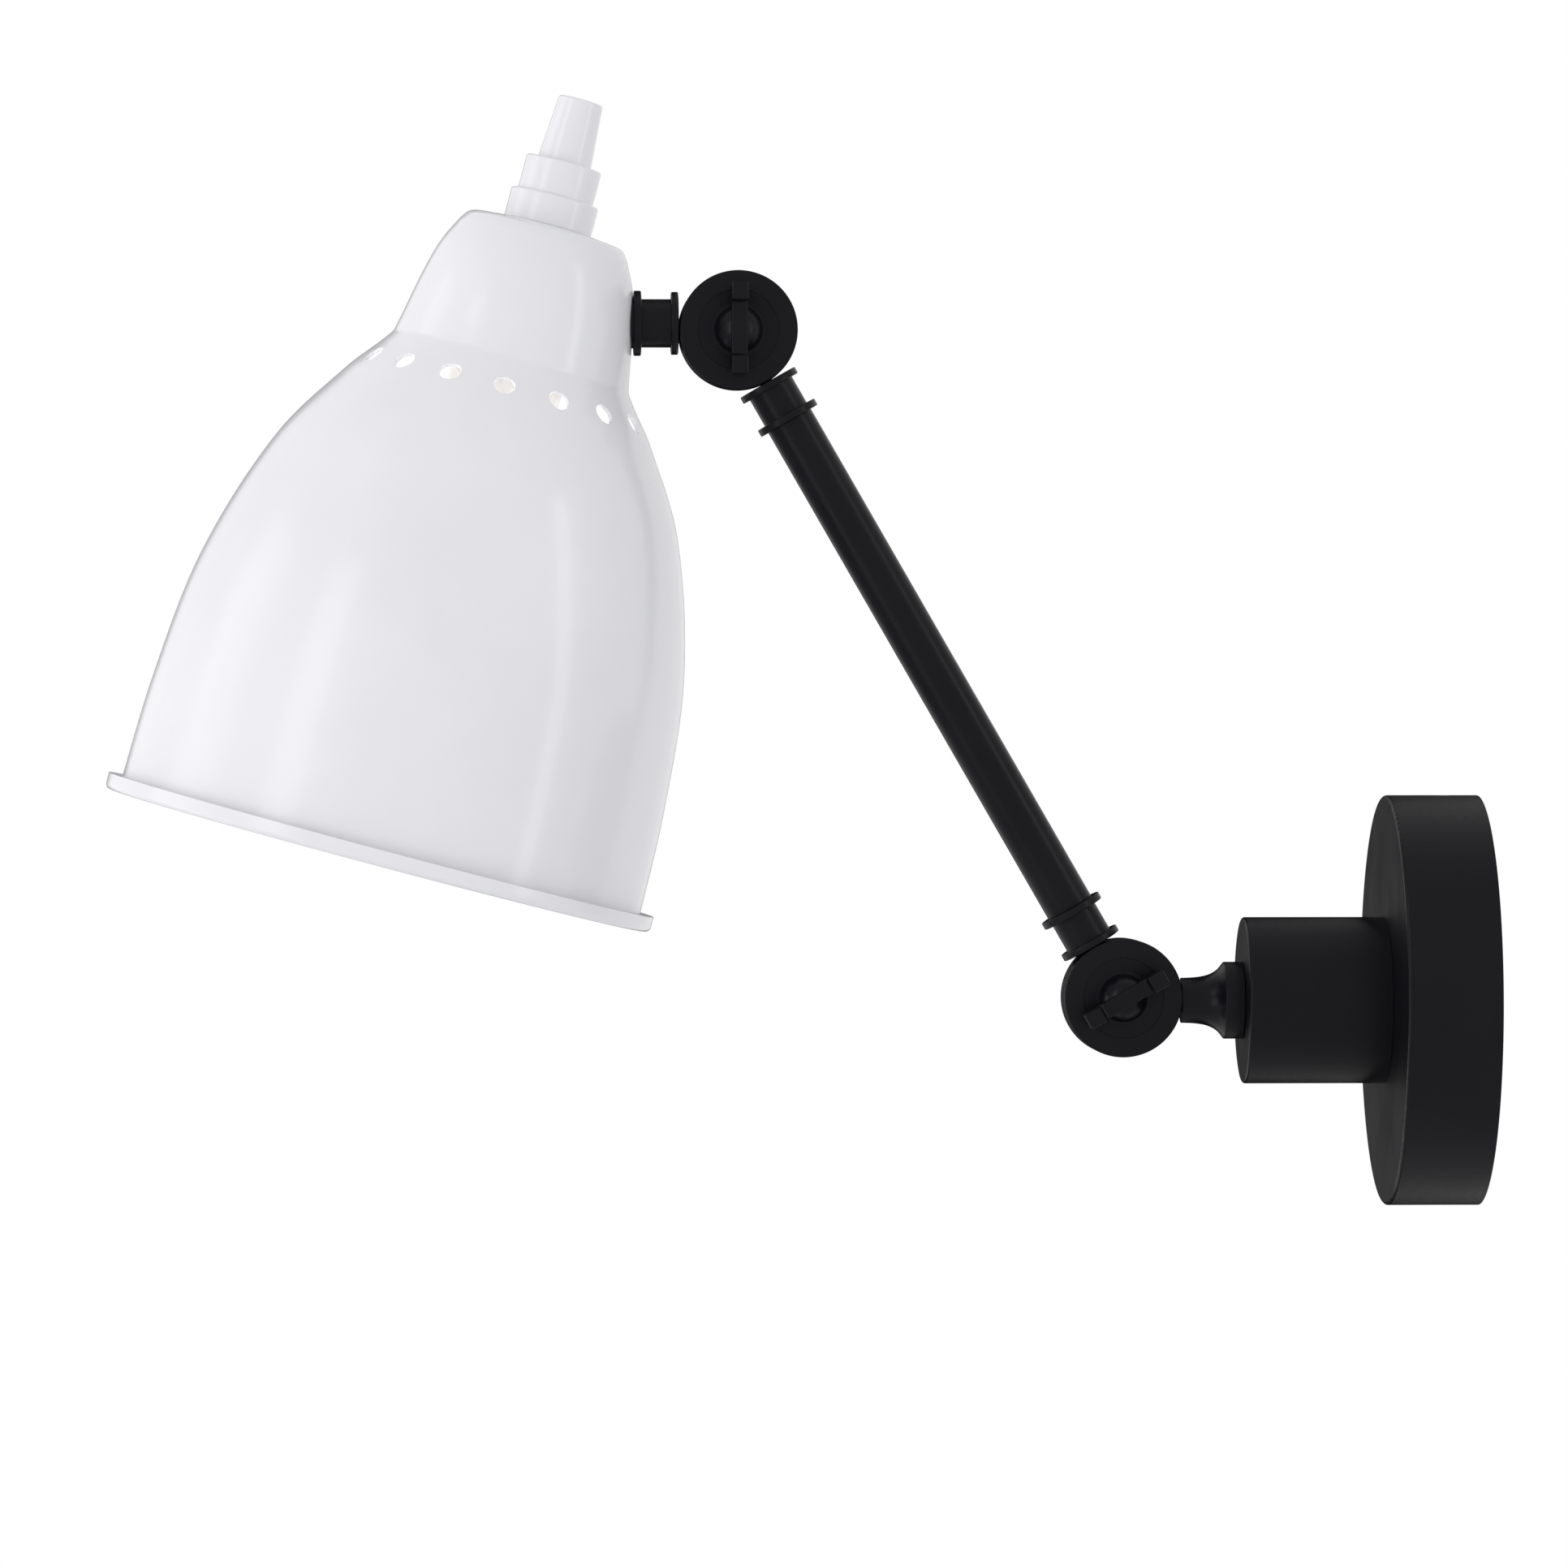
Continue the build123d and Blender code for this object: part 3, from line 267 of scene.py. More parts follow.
def moved(bm, place):
    bmesh.ops.transform(bm, matrix=place, verts=bm.verts)
    return bm


def as_mesh(name, bm):
    """Write a shape into a new mesh and let the shape go."""
    mesh = bpy.data.meshes.new(name)
    bm.to_mesh(mesh)
    bm.free()
    return mesh


def new_object(name, data):
    made = bpy.data.objects.new(name, data)
    bpy.context.scene.collection.objects.link(made)
    return made


def added(bm, other):
    """Put another shape's mesh into this one."""
    mesh = as_mesh("joining", other)
    bm.from_mesh(mesh)
    bpy.data.meshes.remove(mesh)
    return bm


def curved(points, start_slope=None, end_slope=None, parts=8):
    """A smooth line through (radius, height) points."""
    spots = [Vector((x, y, 0)) for x, y in points]
    slopes = []
    for index, spot in enumerate(spots):
        before = spots[max(index - 1, 0)]
        after = spots[min(index + 1, len(spots) - 1)]
        slopes.append((after - before).normalized())
    if start_slope:
        slopes[0] = Vector((*start_slope, 0)).normalized()
    if end_slope:
        slopes[-1] = Vector((*end_slope, 0)).normalized()
    line = []
    for index in range(len(spots) - 1):
        start, end = spots[index], spots[index + 1]
        reach = (end - start).length / 3
        samples = interpolate_bezier(
            start, start + slopes[index] * reach, end - slopes[index + 1] * reach, end, parts + 1
        )
        line.extend((sample.x, sample.y) for sample in samples[:-1])
    line.append(points[-1])
    return line


def blended(before, corner, after, radius, parts=6):
    """An arc that rounds a corner between two straight runs."""
    tip = Vector((*corner, 0))
    into = (Vector((*before, 0)) - tip).normalized()
    away = (Vector((*after, 0)) - tip).normalized()
    opening = into.angle(away)
    reach = radius / math.tan(opening / 2)
    handle = 4 / 3 * math.tan((math.pi - opening) / 4) * radius
    start = tip + into * reach
    end = tip + away * reach
    samples = interpolate_bezier(start, start - into * handle, end - away * handle, end, parts + 1)
    return [(sample.x, sample.y) for sample in samples]


def piece(name, bm, place, body, slot, nodes=(), sharp=38.0):
    """Turn a shape into a finished object that stands for its CAD nodes."""
    moved(bm, place)
    for face in bm.faces:
        face.smooth = True
    mesh = as_mesh(name, bm)
    mesh.set_sharp_from_angle(angle=math.radians(sharp))
    mesh.materials.append(finish(slot))
    made = new_object(name, mesh)
    shading = made.modifiers.new("even_shading", "WEIGHTED_NORMAL")
    shading.keep_sharp = True
    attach(made, body)
    if nodes:
        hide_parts(*nodes)


def finish_node(node, material):
    """Give a CAD node that stays in view its finish."""
    made = frame["nodes"][node]
    made.data.materials.clear()
    made.data.materials.append(material)


# ---------------------------------------------------------------- shared effects
def effect(name, inputs, outputs):
    """An empty node group with named number inputs and outputs."""
    group = bpy.data.node_groups.new(name, "ShaderNodeTree")
    for label, default in inputs:
        socket = group.interface.new_socket(
            name=label, in_out="INPUT", socket_type="NodeSocketFloat"
        )
        socket.default_value = default
    for label in outputs:
        group.interface.new_socket(name=label, in_out="OUTPUT", socket_type="NodeSocketFloat")
    return group


def node(tree, kind, **settings):
    made = tree.nodes.new(kind)
    for key, value in settings.items():
        setattr(made, key, value)
    return made


def join(tree, source, target):
    tree.links.new(source, target)


def maths(tree, operation, first, second, clamp=False):
    """A Math node; each input is a socket or a number."""
    made = node(tree, "ShaderNodeMath", operation=operation, use_clamp=clamp)
    for socket, value in zip(made.inputs, (first, second)):
        if hasattr(value, "is_linked"):
            join(tree, value, socket)
        else:
            socket.default_value = value
    return made.outputs[0]


def object_noise(tree, scale, detail=3.0, roughness=0.5, stretch=(1, 1, 1)):
    """Noise in the object's own coordinates; the scale is a socket or a number."""
    place = node(tree, "ShaderNodeTexCoord")
    mapping = node(tree, "ShaderNodeMapping")
    mapping.inputs["Scale"].default_value = stretch
    join(tree, place.outputs["Object"], mapping.inputs["Vector"])
    noise = node(tree, "ShaderNodeTexNoise")
    noise.inputs["Detail"].default_value = detail
    noise.inputs["Roughness"].default_value = roughness
    join(tree, mapping.outputs["Vector"], noise.inputs["Vector"])
    if hasattr(scale, "is_linked"):
        join(tree, scale, noise.inputs["Scale"])
    else:
        noise.inputs["Scale"].default_value = scale
    return noise.outputs["Fac"]


def stretched(tree, value, low, high):
    """The part of a value that runs from low to high, stretched to 0 to 1."""
    spread = node(tree, "ShaderNodeMapRange", clamp=True)
    spread.inputs["From Min"].default_value = low
    spread.inputs["From Max"].default_value = high
    join(tree, value, spread.inputs["Value"])
    return spread.outputs["Result"]


def shared(build):
    """Build a node group the first time it is asked for, and hand out the same one later."""
    def group():
        return bpy.data.node_groups.get(build.__name__) or build(build.__name__)
    return group


@shared
def sprayed_skin(name):
    """The flow ripple and fine grain of a sprayed coat, and its cloudy unevenness."""
    group = effect(
        name,
        (
            ("Ripple Scale", 420.0), ("Grain Scale", 2600.0), ("Grain Share", 0.3),
            ("Cloud Scale", 28.0),
        ),
        ("Height", "Cloud"),
    )
    start = node(group, "NodeGroupInput")
    end = node(group, "NodeGroupOutput")
    ripple = object_noise(group, start.outputs["Ripple Scale"], 2.0, 0.45)
    grain = object_noise(group, start.outputs["Grain Scale"], 2.0, 0.6)
    grained = maths(group, "MULTIPLY", grain, start.outputs["Grain Share"])
    join(group, maths(group, "ADD", ripple, grained), end.inputs["Height"])
    cloud = object_noise(group, start.outputs["Cloud Scale"], 4.0, 0.55)
    join(group, stretched(group, cloud, 0.36, 0.66), end.inputs["Cloud"])
    return group


@shared
def handled_surface(name):
    """Faint smears and hair lines that use leaves on a surface."""
    group = effect(
        name, (("Smear Scale", 45.0), ("Line Scale", 180.0), ("Amount", 1.0)), ("Smears", "Lines")
    )
    start = node(group, "NodeGroupInput")
    end = node(group, "NodeGroupOutput")
    smear = object_noise(group, start.outputs["Smear Scale"], 5.0, 0.62, (1.0, 1.0, 0.45))
    line = object_noise(group, start.outputs["Line Scale"], 2.0, 0.5, (1.0, 0.12, 6.0))
    for label, value, low, high in (("Smears", smear, 0.50, 0.74), ("Lines", line, 0.66, 0.72)):
        marks = stretched(group, value, low, high)
        join(group, maths(group, "MULTIPLY", marks, start.outputs["Amount"]), end.inputs[label])
    return group


@shared
def worked_metal(name):
    """Tool grain of drawn or turned metal, and the spangle of its plate."""
    group = effect(
        name, (("Grain Scale", 900.0), ("Spangle Scale", 240.0)), ("Height", "Grain", "Spangle")
    )
    start = node(group, "NodeGroupInput")
    end = node(group, "NodeGroupOutput")
    grain = object_noise(group, start.outputs["Grain Scale"], 3.0, 0.6, (1.0, 0.06, 1.0))
    join(group, grain, end.inputs["Height"])
    join(group, stretched(group, grain, 0.35, 0.65), end.inputs["Grain"])
    place = node(group, "ShaderNodeTexCoord")
    spangle = node(group, "ShaderNodeTexVoronoi")
    join(group, place.outputs["Object"], spangle.inputs["Vector"])
    join(group, start.outputs["Spangle Scale"], spangle.inputs["Scale"])
    split = node(group, "ShaderNodeSeparateColor")
    join(group, spangle.outputs["Color"], split.inputs["Color"])
    join(group, split.outputs["Red"], end.inputs["Spangle"])
    return group


# ---------------------------------------------------------------- finishes
def new_finish(name):
    material = bpy.data.materials.new(name)
    material.use_nodes = True
    tree = material.node_tree
    shader = tree.nodes["Principled BSDF"]
    return material, tree, shader


def placed_effect(tree, group, **values):
    made = node(tree, "ShaderNodeGroup", node_tree=group)
    for label, value in values.items():
        made.inputs[label.replace("_", " ").title()].default_value = value
    return made


def two_tone(tree, shader, mask, first, second):
    """Base Color between two tones by a mask."""
    mix = node(tree, "ShaderNodeMix", data_type="RGBA")
    mix.inputs["A"].default_value = (*first, 1)
    mix.inputs["B"].default_value = (*second, 1)
    join(tree, mask, mix.inputs["Factor"])
    join(tree, mix.outputs["Result"], shader.inputs["Base Color"])


def uneven_gloss(tree, shader, mask, low, high):
    """Roughness that runs between two values by a mask."""
    spread = node(tree, "ShaderNodeMapRange", clamp=True)
    spread.inputs["To Min"].default_value = low
    spread.inputs["To Max"].default_value = high
    join(tree, mask, spread.inputs["Value"])
    join(tree, spread.outputs["Result"], shader.inputs["Roughness"])


def relief(tree, shader, height, strength, distance):
    bump = node(tree, "ShaderNodeBump")
    bump.inputs["Strength"].default_value = strength
    bump.inputs["Distance"].default_value = distance
    join(tree, height, bump.inputs["Height"])
    join(tree, bump.outputs["Normal"], shader.inputs["Normal"])


def black_coat():
    material, tree, shader = new_finish("black_coat_finish")
    skin = placed_effect(
        tree, sprayed_skin(), ripple_scale=520.0, grain_scale=3200.0, grain_share=0.45,
        cloud_scale=36.0,
    )
    hands = placed_effect(tree, handled_surface(), smear_scale=60.0, line_scale=220.0, amount=0.7)
    mask = maths(tree, "ADD", maths(tree, "MULTIPLY", skin.outputs["Cloud"], 0.5),
                 maths(tree, "MULTIPLY", hands.outputs["Smears"], 0.5), clamp=True)
    two_tone(tree, shader, mask, finishes().coat, finishes().coat_worn)
    gloss = maths(tree, "SUBTRACT", maths(tree, "MULTIPLY", skin.outputs["Cloud"], 0.6),
                  maths(tree, "MULTIPLY", hands.outputs["Lines"], 0.4), clamp=True)
    uneven_gloss(tree, shader, gloss, low=0.28, high=0.37)
    relief(tree, shader, skin.outputs["Height"], strength=0.16, distance=0.00012)
    shader.inputs["Specular IOR Level"].default_value = 0.12
    return material


def white_enamel():
    material, tree, shader = new_finish("white_enamel_finish")
    skin = placed_effect(
        tree, sprayed_skin(), ripple_scale=190.0, grain_scale=1500.0, grain_share=0.08,
        cloud_scale=16.0,
    )
    hands = placed_effect(tree, handled_surface(), smear_scale=30.0, line_scale=120.0, amount=0.6)
    two_tone(tree, shader, skin.outputs["Cloud"], finishes().enamel, finishes().enamel_cloud)
    uneven_gloss(tree, shader, hands.outputs["Smears"], low=0.22, high=0.27)
    relief(tree, shader, skin.outputs["Height"], strength=0.10, distance=0.0001)
    shader.inputs["Specular IOR Level"].default_value = 0.25
    shader.inputs["Coat Weight"].default_value = 0.12
    shader.inputs["Coat Roughness"].default_value = 0.06
    return material


def plated(name, light, dark, grain, spangle, low, high):
    """A metal with tool grain and spangle, between two tones given by name."""
    material, tree, shader = new_finish(f"{name}_finish")
    metal = placed_effect(tree, worked_metal(), grain_scale=grain, spangle_scale=spangle)
    mask = maths(tree, "ADD", maths(tree, "MULTIPLY", metal.outputs["Spangle"], 0.45),
                 maths(tree, "MULTIPLY", metal.outputs["Grain"], 0.45), clamp=True)
    tones = finishes()
    two_tone(tree, shader, mask, getattr(tones, light), getattr(tones, dark))
    uneven_gloss(tree, shader, metal.outputs["Grain"], low, high)
    relief(tree, shader, metal.outputs["Height"], strength=0.2, distance=0.0001)
    shader.inputs["Metallic"].default_value = 1.0
    return material


def moulded(name, tone, darker, ripple, low, high, bump):
    """A moulded or pressed stuff with a fine texture, in a tone given by name."""
    light = getattr(finishes(), tone)
    material, tree, shader = new_finish(f"{name}_finish")
    skin = placed_effect(
        tree, sprayed_skin(), ripple_scale=ripple, grain_scale=ripple * 4, grain_share=0.6,
        cloud_scale=60.0,
    )
    two_tone(tree, shader, skin.outputs["Cloud"], light, [part * darker for part in light])
    uneven_gloss(tree, shader, skin.outputs["Cloud"], low, high)
    relief(tree, shader, skin.outputs["Height"], strength=bump, distance=0.0001)
    return material


def opal_glass():
    material, tree, shader = new_finish("opal_glass_finish")
    skin = placed_effect(
        tree, sprayed_skin(), ripple_scale=90.0, grain_scale=2400.0, grain_share=0.05,
        cloud_scale=22.0,
    )
    tones = finishes()
    two_tone(tree, shader, skin.outputs["Cloud"], tones.opal, [part * 0.96 for part in tones.opal])
    glow = node(tree, "ShaderNodeMix", data_type="RGBA")
    glow.inputs["A"].default_value = (*tones.glow, 1)
    glow.inputs["B"].default_value = (*[part * 0.94 for part in tones.glow], 1)
    join(tree, skin.outputs["Cloud"], glow.inputs["Factor"])
    join(tree, glow.outputs["Result"], shader.inputs["Emission Color"])
    relief(tree, shader, skin.outputs["Height"], strength=0.05, distance=0.0001)
    shader.inputs["Emission Strength"].default_value = tones.glow_strength
    shader.inputs["Roughness"].default_value = 0.18
    return material


COATS = {"black_coat": black_coat, "white_enamel": white_enamel, "opal_glass": opal_glass}
# Light tone, dark tone, grain, spangle, lowest and highest roughness
METALS = {
    "zinc_steel": ("zinc", "zinc_dark", 900.0, 320.0, 0.26, 0.42),
    "brass": ("brass", "brass_dark", 1200.0, 150.0, 0.24, 0.40),
    "bulb_metal": ("rolled", "zinc_dark", 700.0, 120.0, 0.2, 0.34),
}
# Tone, how dark its clouds are, ripple, lowest and highest roughness, relief
MOULDINGS = {
    "white_plastic": ("nylon", 0.93, 700.0, 0.38, 0.5, 0.2),
    "fibre": ("fibre", 0.6, 1800.0, 0.75, 0.9, 0.8),
    "holder_plastic": ("thermoset", 0.95, 600.0, 0.3, 0.42, 0.15),
    "ceramic": ("steatite", 0.9, 1500.0, 0.55, 0.7, 0.5),
}


def finish(name):
    """The finish of a material slot, made the first time it is asked for."""
    made = bpy.data.materials.get(f"{name}_finish")
    if made:
        return made
    if name in METALS:
        return plated(name, *METALS[name])
    if name in MOULDINGS:
        return moulded(name, *MOULDINGS[name])
    return COATS[name]()


# ---------------------------------------------------------------- wall pieces
def rod(radius, start, end, place, steps=48):
    """A plain turned rod, moved to its place; lengths in millimetres."""
    return moved(spun([(0, start), (radius, start), (radius, end), (0, end)], steps), place)


class LampBarrel(bpy.types.Operator):
    """Turn the barrel on the canopy"""

    bl_idname = "lamp.barrel"
    bl_label = "Barrel"

    def execute(self, context):
        radius = sizes().barrel_radius / MM
        back = sizes().canopy_depth / MM
        face = sizes().barrel_end / MM
        wall = 2.0
        front = 3.0
        bore = 6.5
        boss_radius = 3.4
        boss_blend = 0.8
        boss_start = back + 0.02
        boss_end = back + 13.0
        inside = radius - wall
        bm = spun(
            [(bore, face), (radius, face), (radius, back), (inside, back),
             (inside, face - front), (bore, face - front)],
            steps=160, closed=True,
        )
        soften(bm, 0.6, (radius, face), segments=4)
        soften(bm, 0.12, (radius, back), (bore, face), segments=2)
        circle = inside - boss_radius + boss_blend
        for degrees in (90, 210, 330):
            angle = math.radians(degrees)
            spot = (circle * math.cos(angle) * MM, circle * math.sin(angle) * MM, 0)
            added(bm, rod(boss_radius, boss_start, boss_end, Matrix.Translation(spot)))
        piece("barrel_shell", bm, wall_place(), "wall_base", "black_coat", ["barrel"])
        return {"FINISHED"}


class LampStem(bpy.types.Operator):
    """Turn the trumpet stem"""

    bl_idname = "lamp.stem"
    bl_label = "Stem"

    def execute(self, context):
        bore = 3.0
        neck_radius = 5.49
        foot_radius = 9.38
        foot = sizes().barrel_end / MM + FACE_GAP
        shoulder = foot + 4.5
        spigot_end = foot - 10.0
        neck = -PIVOTS["lower_tilt"].y / MM - COLLAR_START
        flare = curved(
            [(neck_radius, neck), (5.95, shoulder + 4.92), (7.25, shoulder + 1.92),
             (foot_radius, shoulder)],
            start_slope=(0.02, -1),
        )
        bm = spun(
            [(bore, neck), *flare, (foot_radius, foot), (THREAD_RADIUS, foot),
             (THREAD_RADIUS, spigot_end), (bore, spigot_end)],
            steps=128, closed=True,
        )
        soften(bm, 0.15, (foot_radius, shoulder), (foot_radius, foot), segments=2)
        piece("trumpet_stem", bm, wall_place(), "stem", "black_coat", ["base_stem"])
        return {"FINISHED"}


# ---------------------------------------------------------------- knuckles and wing screws
def half_drum(side, pivot, stub_place, stub_radius, stub_length):
    """Half a knuckle: a dished drum, and its stub on the knuckle's middle plane."""
    radius = sizes().knuckle_radius / MM
    face = sizes().knuckle_thickness / MM / 2
    joint = 0.25
    bore = 3.1
    hub = 4.8
    cavity = 11.2
    cavity_floor = 3.4
    ring = 9.8
    ring_floor = face - 0.35
    dish = 6.6
    dish_floor = face - 0.8
    bm = spun(
        [(bore, joint), (hub, joint), (hub, cavity_floor), (cavity, cavity_floor),
         (cavity, joint), (radius, joint), (radius, face), (ring, face), (ring, ring_floor),
         (dish, dish_floor), (bore, dish_floor)],
        steps=144, closed=True,
    )
    soften(bm, 0.35, (radius, face), segments=3)
    soften(bm, 0.12, (radius, joint), (ring, face), (dish, dish_floor), segments=2)
    moved(bm, across(pivot, side))
    stub_bore = 2.8
    stub_start = 14.47
    stub_end = COLLAR_START + stub_length
    stub = spun(
        [(stub_bore, stub_start), (stub_radius, stub_start), (stub_radius, stub_end),
         (stub_bore, stub_end)],
        steps=64, closed=True,
    )
    return added(bm, moved(stub, stub_place))


class LampKnuckles(bpy.types.Operator):
    """Turn the four half drums of the two knuckles"""

    bl_idname = "lamp.knuckles"
    bl_label = "Knuckles"

    def execute(self, context):
        lower = PIVOTS["lower_tilt"]
        upper = PIVOTS["upper_tilt"]
        stem = along((0, lower.y, 0), 0)
        stem_stub = (4.0, 6.0)
        collar_stub = (4.97, 5.0)
        halves = (
            ("lower_knuckle_base", "stem", FAR, lower, stem, stem_stub),
            ("lower_knuckle_arm", "arm", NEAR, lower, arm_place(), collar_stub),
            ("upper_knuckle_arm", "arm", NEAR, upper, arm_back_place(), collar_stub),
            ("upper_knuckle_head", "head", FAR, upper, head_place(), collar_stub),
        )
        for name, body, side, pivot, stub_place, stub in halves:
            bm = half_drum(side, pivot, stub_place, *stub)
            piece(f"{name}_drum", bm, Matrix(), body, "black_coat", [name])
        return {"FINISHED"}


def wing_bar():
    """The bar of a wing screw: a U from the side, its ends standing up as ears."""
    end = sizes().wing_length / MM / 2
    inner = end - 4.2
    width = 3.9
    base = 3.1
    saddle = 7.35
    top = 11.95
    corners = [
        (-end, base), (end, base), (end, top), (inner, top), (inner, saddle), (-inner, saddle),
        (-inner, top), (-end, top),
    ]
    bm = bmesh.new()
    verts = [bm.verts.new((x * MM, -width / 2 * MM, z * MM)) for x, z in corners]
    face = bm.faces.new(verts)
    grown = bmesh.ops.extrude_face_region(bm, geom=[face])
    fresh = [item for item in grown["geom"] if isinstance(item, bmesh.types.BMVert)]
    bmesh.ops.translate(bm, vec=(0, width * MM, 0), verts=fresh)
    bmesh.ops.recalc_face_normals(bm, faces=bm.faces)

    def hollow(edge, within=0.01):
        return all(
            abs(abs(vert.co.x) / MM - inner) < within and abs(vert.co.z / MM - saddle) < within
            for vert in edge.verts
        ) and edge.verts[0].co.x * edge.verts[1].co.x > 0

    rounded(bm, [edge for edge in bm.edges if hollow(edge)], 1.5, segments=6)
    return soften_sharp(bm, 0.3, angle=50.0, segments=3)


class LampWingScrews(bpy.types.Operator):
    """Cast the two wing screws"""

    bl_idname = "lamp.wing_screws"
    bl_label = "Wing screws"

    def execute(self, context):
        face = sizes().knuckle_thickness / MM / 2
        screws = (
            ("lower_wing_screw", "lower_knob", PIVOTS["lower_tilt"], 30.0),
            ("upper_wing_screw", "upper_knob", PIVOTS["upper_tilt"], 90.0),
        )
        shank = 3.0
        tip_radius = 2.6
        tip = 1.2 - face
        tip_edge = 1.6 - face
        dome_radius = 5.8
        dome = [
            (dome_radius * math.cos(angle), face + dome_radius * math.sin(angle))
            for angle in evenly(0, math.pi / 2, 16)[:-1]
        ]
        dome.append((0.0, face + dome_radius))
        for name, body, pivot, angle in screws:
            bm = spun(
                [(0, tip), (tip_radius, tip), (shank, tip_edge), (shank, face), *dome], steps=96
            )
            turn = Matrix.Rotation(math.radians(angle), 4, "Z")
            added(bm, moved(wing_bar(), turn @ Matrix.Translation((0, 0, face * MM))))
            piece(f"{name}_head", bm, across(pivot, NEAR), body, "black_coat", [name])
        return {"FINISHED"}


# ---------------------------------------------------------------- arm
class LampCollars(bpy.types.Operator):
    """Turn the three flanged collars"""

    bl_idname = "lamp.collars"
    bl_label = "Collars"

    def execute(self, context):
        collars = (
            ("lower_collar", "arm", arm_place()),
            ("upper_collar", "arm", arm_back_place()),
            ("head_collar", "head", head_place()),
        )
        sleeve = 5.87
        near_flange = 7.63
        far_flange = 7.9
        near_end = 16.2
        far_start = 23.5
        for name, body, place in collars:
            bm = spun(
                [(THREAD_RADIUS, COLLAR_START), (near_flange, COLLAR_START),
                 (near_flange, near_end), (sleeve, near_end), (sleeve, far_start),
                 (far_flange, far_start), (far_flange, COLLAR_END), (THREAD_RADIUS, COLLAR_END)],
                steps=128, closed=True,
            )
            soften(
                bm, 0.25, (near_flange, COLLAR_START), (near_flange, near_end),
                (far_flange, far_start), (far_flange, COLLAR_END),
            )
            soften(bm, 0.2, (sleeve, near_end), (sleeve, far_start), segments=2)
            piece(f"{name}_turned", bm, place, body, "black_coat", [name])
        return {"FINISHED"}


class LampArmTube(bpy.types.Operator):
    """Cut the straight arm tube"""

    bl_idname = "lamp.arm_tube"
    bl_label = "Arm tube"

    def execute(self, context):
        radius = sizes().tube_radius / MM
        start = COLLAR_END
        end = sizes().arm_length / MM - start
        bm = spun(
            [(THREAD_RADIUS, start), (radius, start), (radius, end), (THREAD_RADIUS, end)],
            steps=128, closed=True,
        )
        soften(bm, 0.12, (radius, start), (radius, end), segments=2)
        piece("arm_tube_drawn", bm, arm_place(), "arm", "black_coat", ["arm_tube"])
        return {"FINISHED"}


# ---------------------------------------------------------------- shade
def shade_line():
    """The shade's outer line from the cap's seat to the rim's lip, in millimetres."""
    hole = (5.1, CAP_SEAT)
    seat = (10.9, CAP_SEAT)
    top_corner = (19.3, 40.6)
    neck = [(21.1, 38.0), (23.95, 32.0), (26.2, 24.0), (28.55, 12.0)]
    shoulder = (29.5, 7.4)
    bell = [(32.0, 4.0), (38.3, -4.0), (50.4, -24.0), (60.5, -56.0), (64.1, -88.0), (65.0, -116.6)]
    return [
        hole, seat, *blended(seat, top_corner, neck[0], 3.0), *curved(neck, parts=10),
        *blended(neck[-1], shoulder, bell[0], 3.2), *curved(bell, parts=12),
    ]


class ArcLine:
    """A line that is asked for its point at a length along it."""

    def __init__(self, points):
        self.points = points
        self.lengths = [0.0]
        for before, after in zip(points, points[1:]):
            self.lengths.append(self.lengths[-1] + math.dist(before, after))

    def at(self, length):
        for index in range(1, len(self.lengths)):
            if length <= self.lengths[index]:
                break
        span = self.lengths[index] - self.lengths[index - 1]
        share = (length - self.lengths[index - 1]) / span
        (x0, y0), (x1, y1) = self.points[index - 1], self.points[index]
        return x0 + (x1 - x0) * share, y0 + (y1 - y0) * share

    def length_at_radius(self, radius):
        for index in range(1, len(self.points)):
            x0, x1 = self.points[index - 1][0], self.points[index][0]
            if x0 <= radius < x1:
                share = (radius - x0) / (x1 - x0)
                before, after = self.lengths[index - 1:index + 1]
                return before + share * (after - before)
        raise ValueError("the shade's line doesn't reach the vents")


# Points from the middle of a vent to its edge, before it is opened
VENT_PATCH = 4


def shade_rows(line, vent, pitch):
    """Lengths along the line at which the shade has a ring of points."""
    band = [vent + step * pitch for step in range(-VENT_PATCH - 2, VENT_PATCH + 3)]
    least_gap = 0.4
    above = [length for length in line.lengths if length < band[0] - least_gap]
    below = evenly(band[-1], line.lengths[-1], 47)[1:]
    return above + band + below


def open_vents(bm, line, vent, pitch, columns):
    """Open a round hole in the middle of each sector of the vent band."""
    radius = sizes().vent_radius / MM
    count = sizes().vent_count
    sector = columns // count
    turn = math.tau / columns
    heights = [line.at(vent + step * pitch)[1] for step in range(-VENT_PATCH, VENT_PATCH + 1)]
    patch = {}
    for vert in bm.verts:
        height = vert.co.z / MM
        row = min(range(len(heights)), key=lambda index: abs(heights[index] - height))
        if abs(heights[row] - height) > 0.01:
            continue
        column = round(math.atan2(vert.co.y, vert.co.x) / turn) % columns
        beside = (column + sector // 2) % sector - sector // 2
        if abs(beside) <= VENT_PATCH:
            patch[vert] = (beside, row - VENT_PATCH, round((column - beside) / sector) % count)
    inner = [vert for vert, (beside, down, _) in patch.items()
             if max(abs(beside), abs(down)) < VENT_PATCH]
    middles = set(inner)
    rims = {vert: spot for vert, spot in patch.items() if vert not in middles}
    for vert, (beside, down, hole) in rims.items():
        angle = math.atan2(down, beside)
        height_step = radius * math.sin(angle)
        ring_radius, ring_height = line.at(vent + height_step)
        spin = hole * math.tau / count + radius * math.cos(angle) / ring_radius
        vert.co = Vector((
            ring_radius * math.cos(spin), ring_radius * math.sin(spin), ring_height
        )) * MM
    bmesh.ops.delete(bm, geom=inner, context="VERTS")


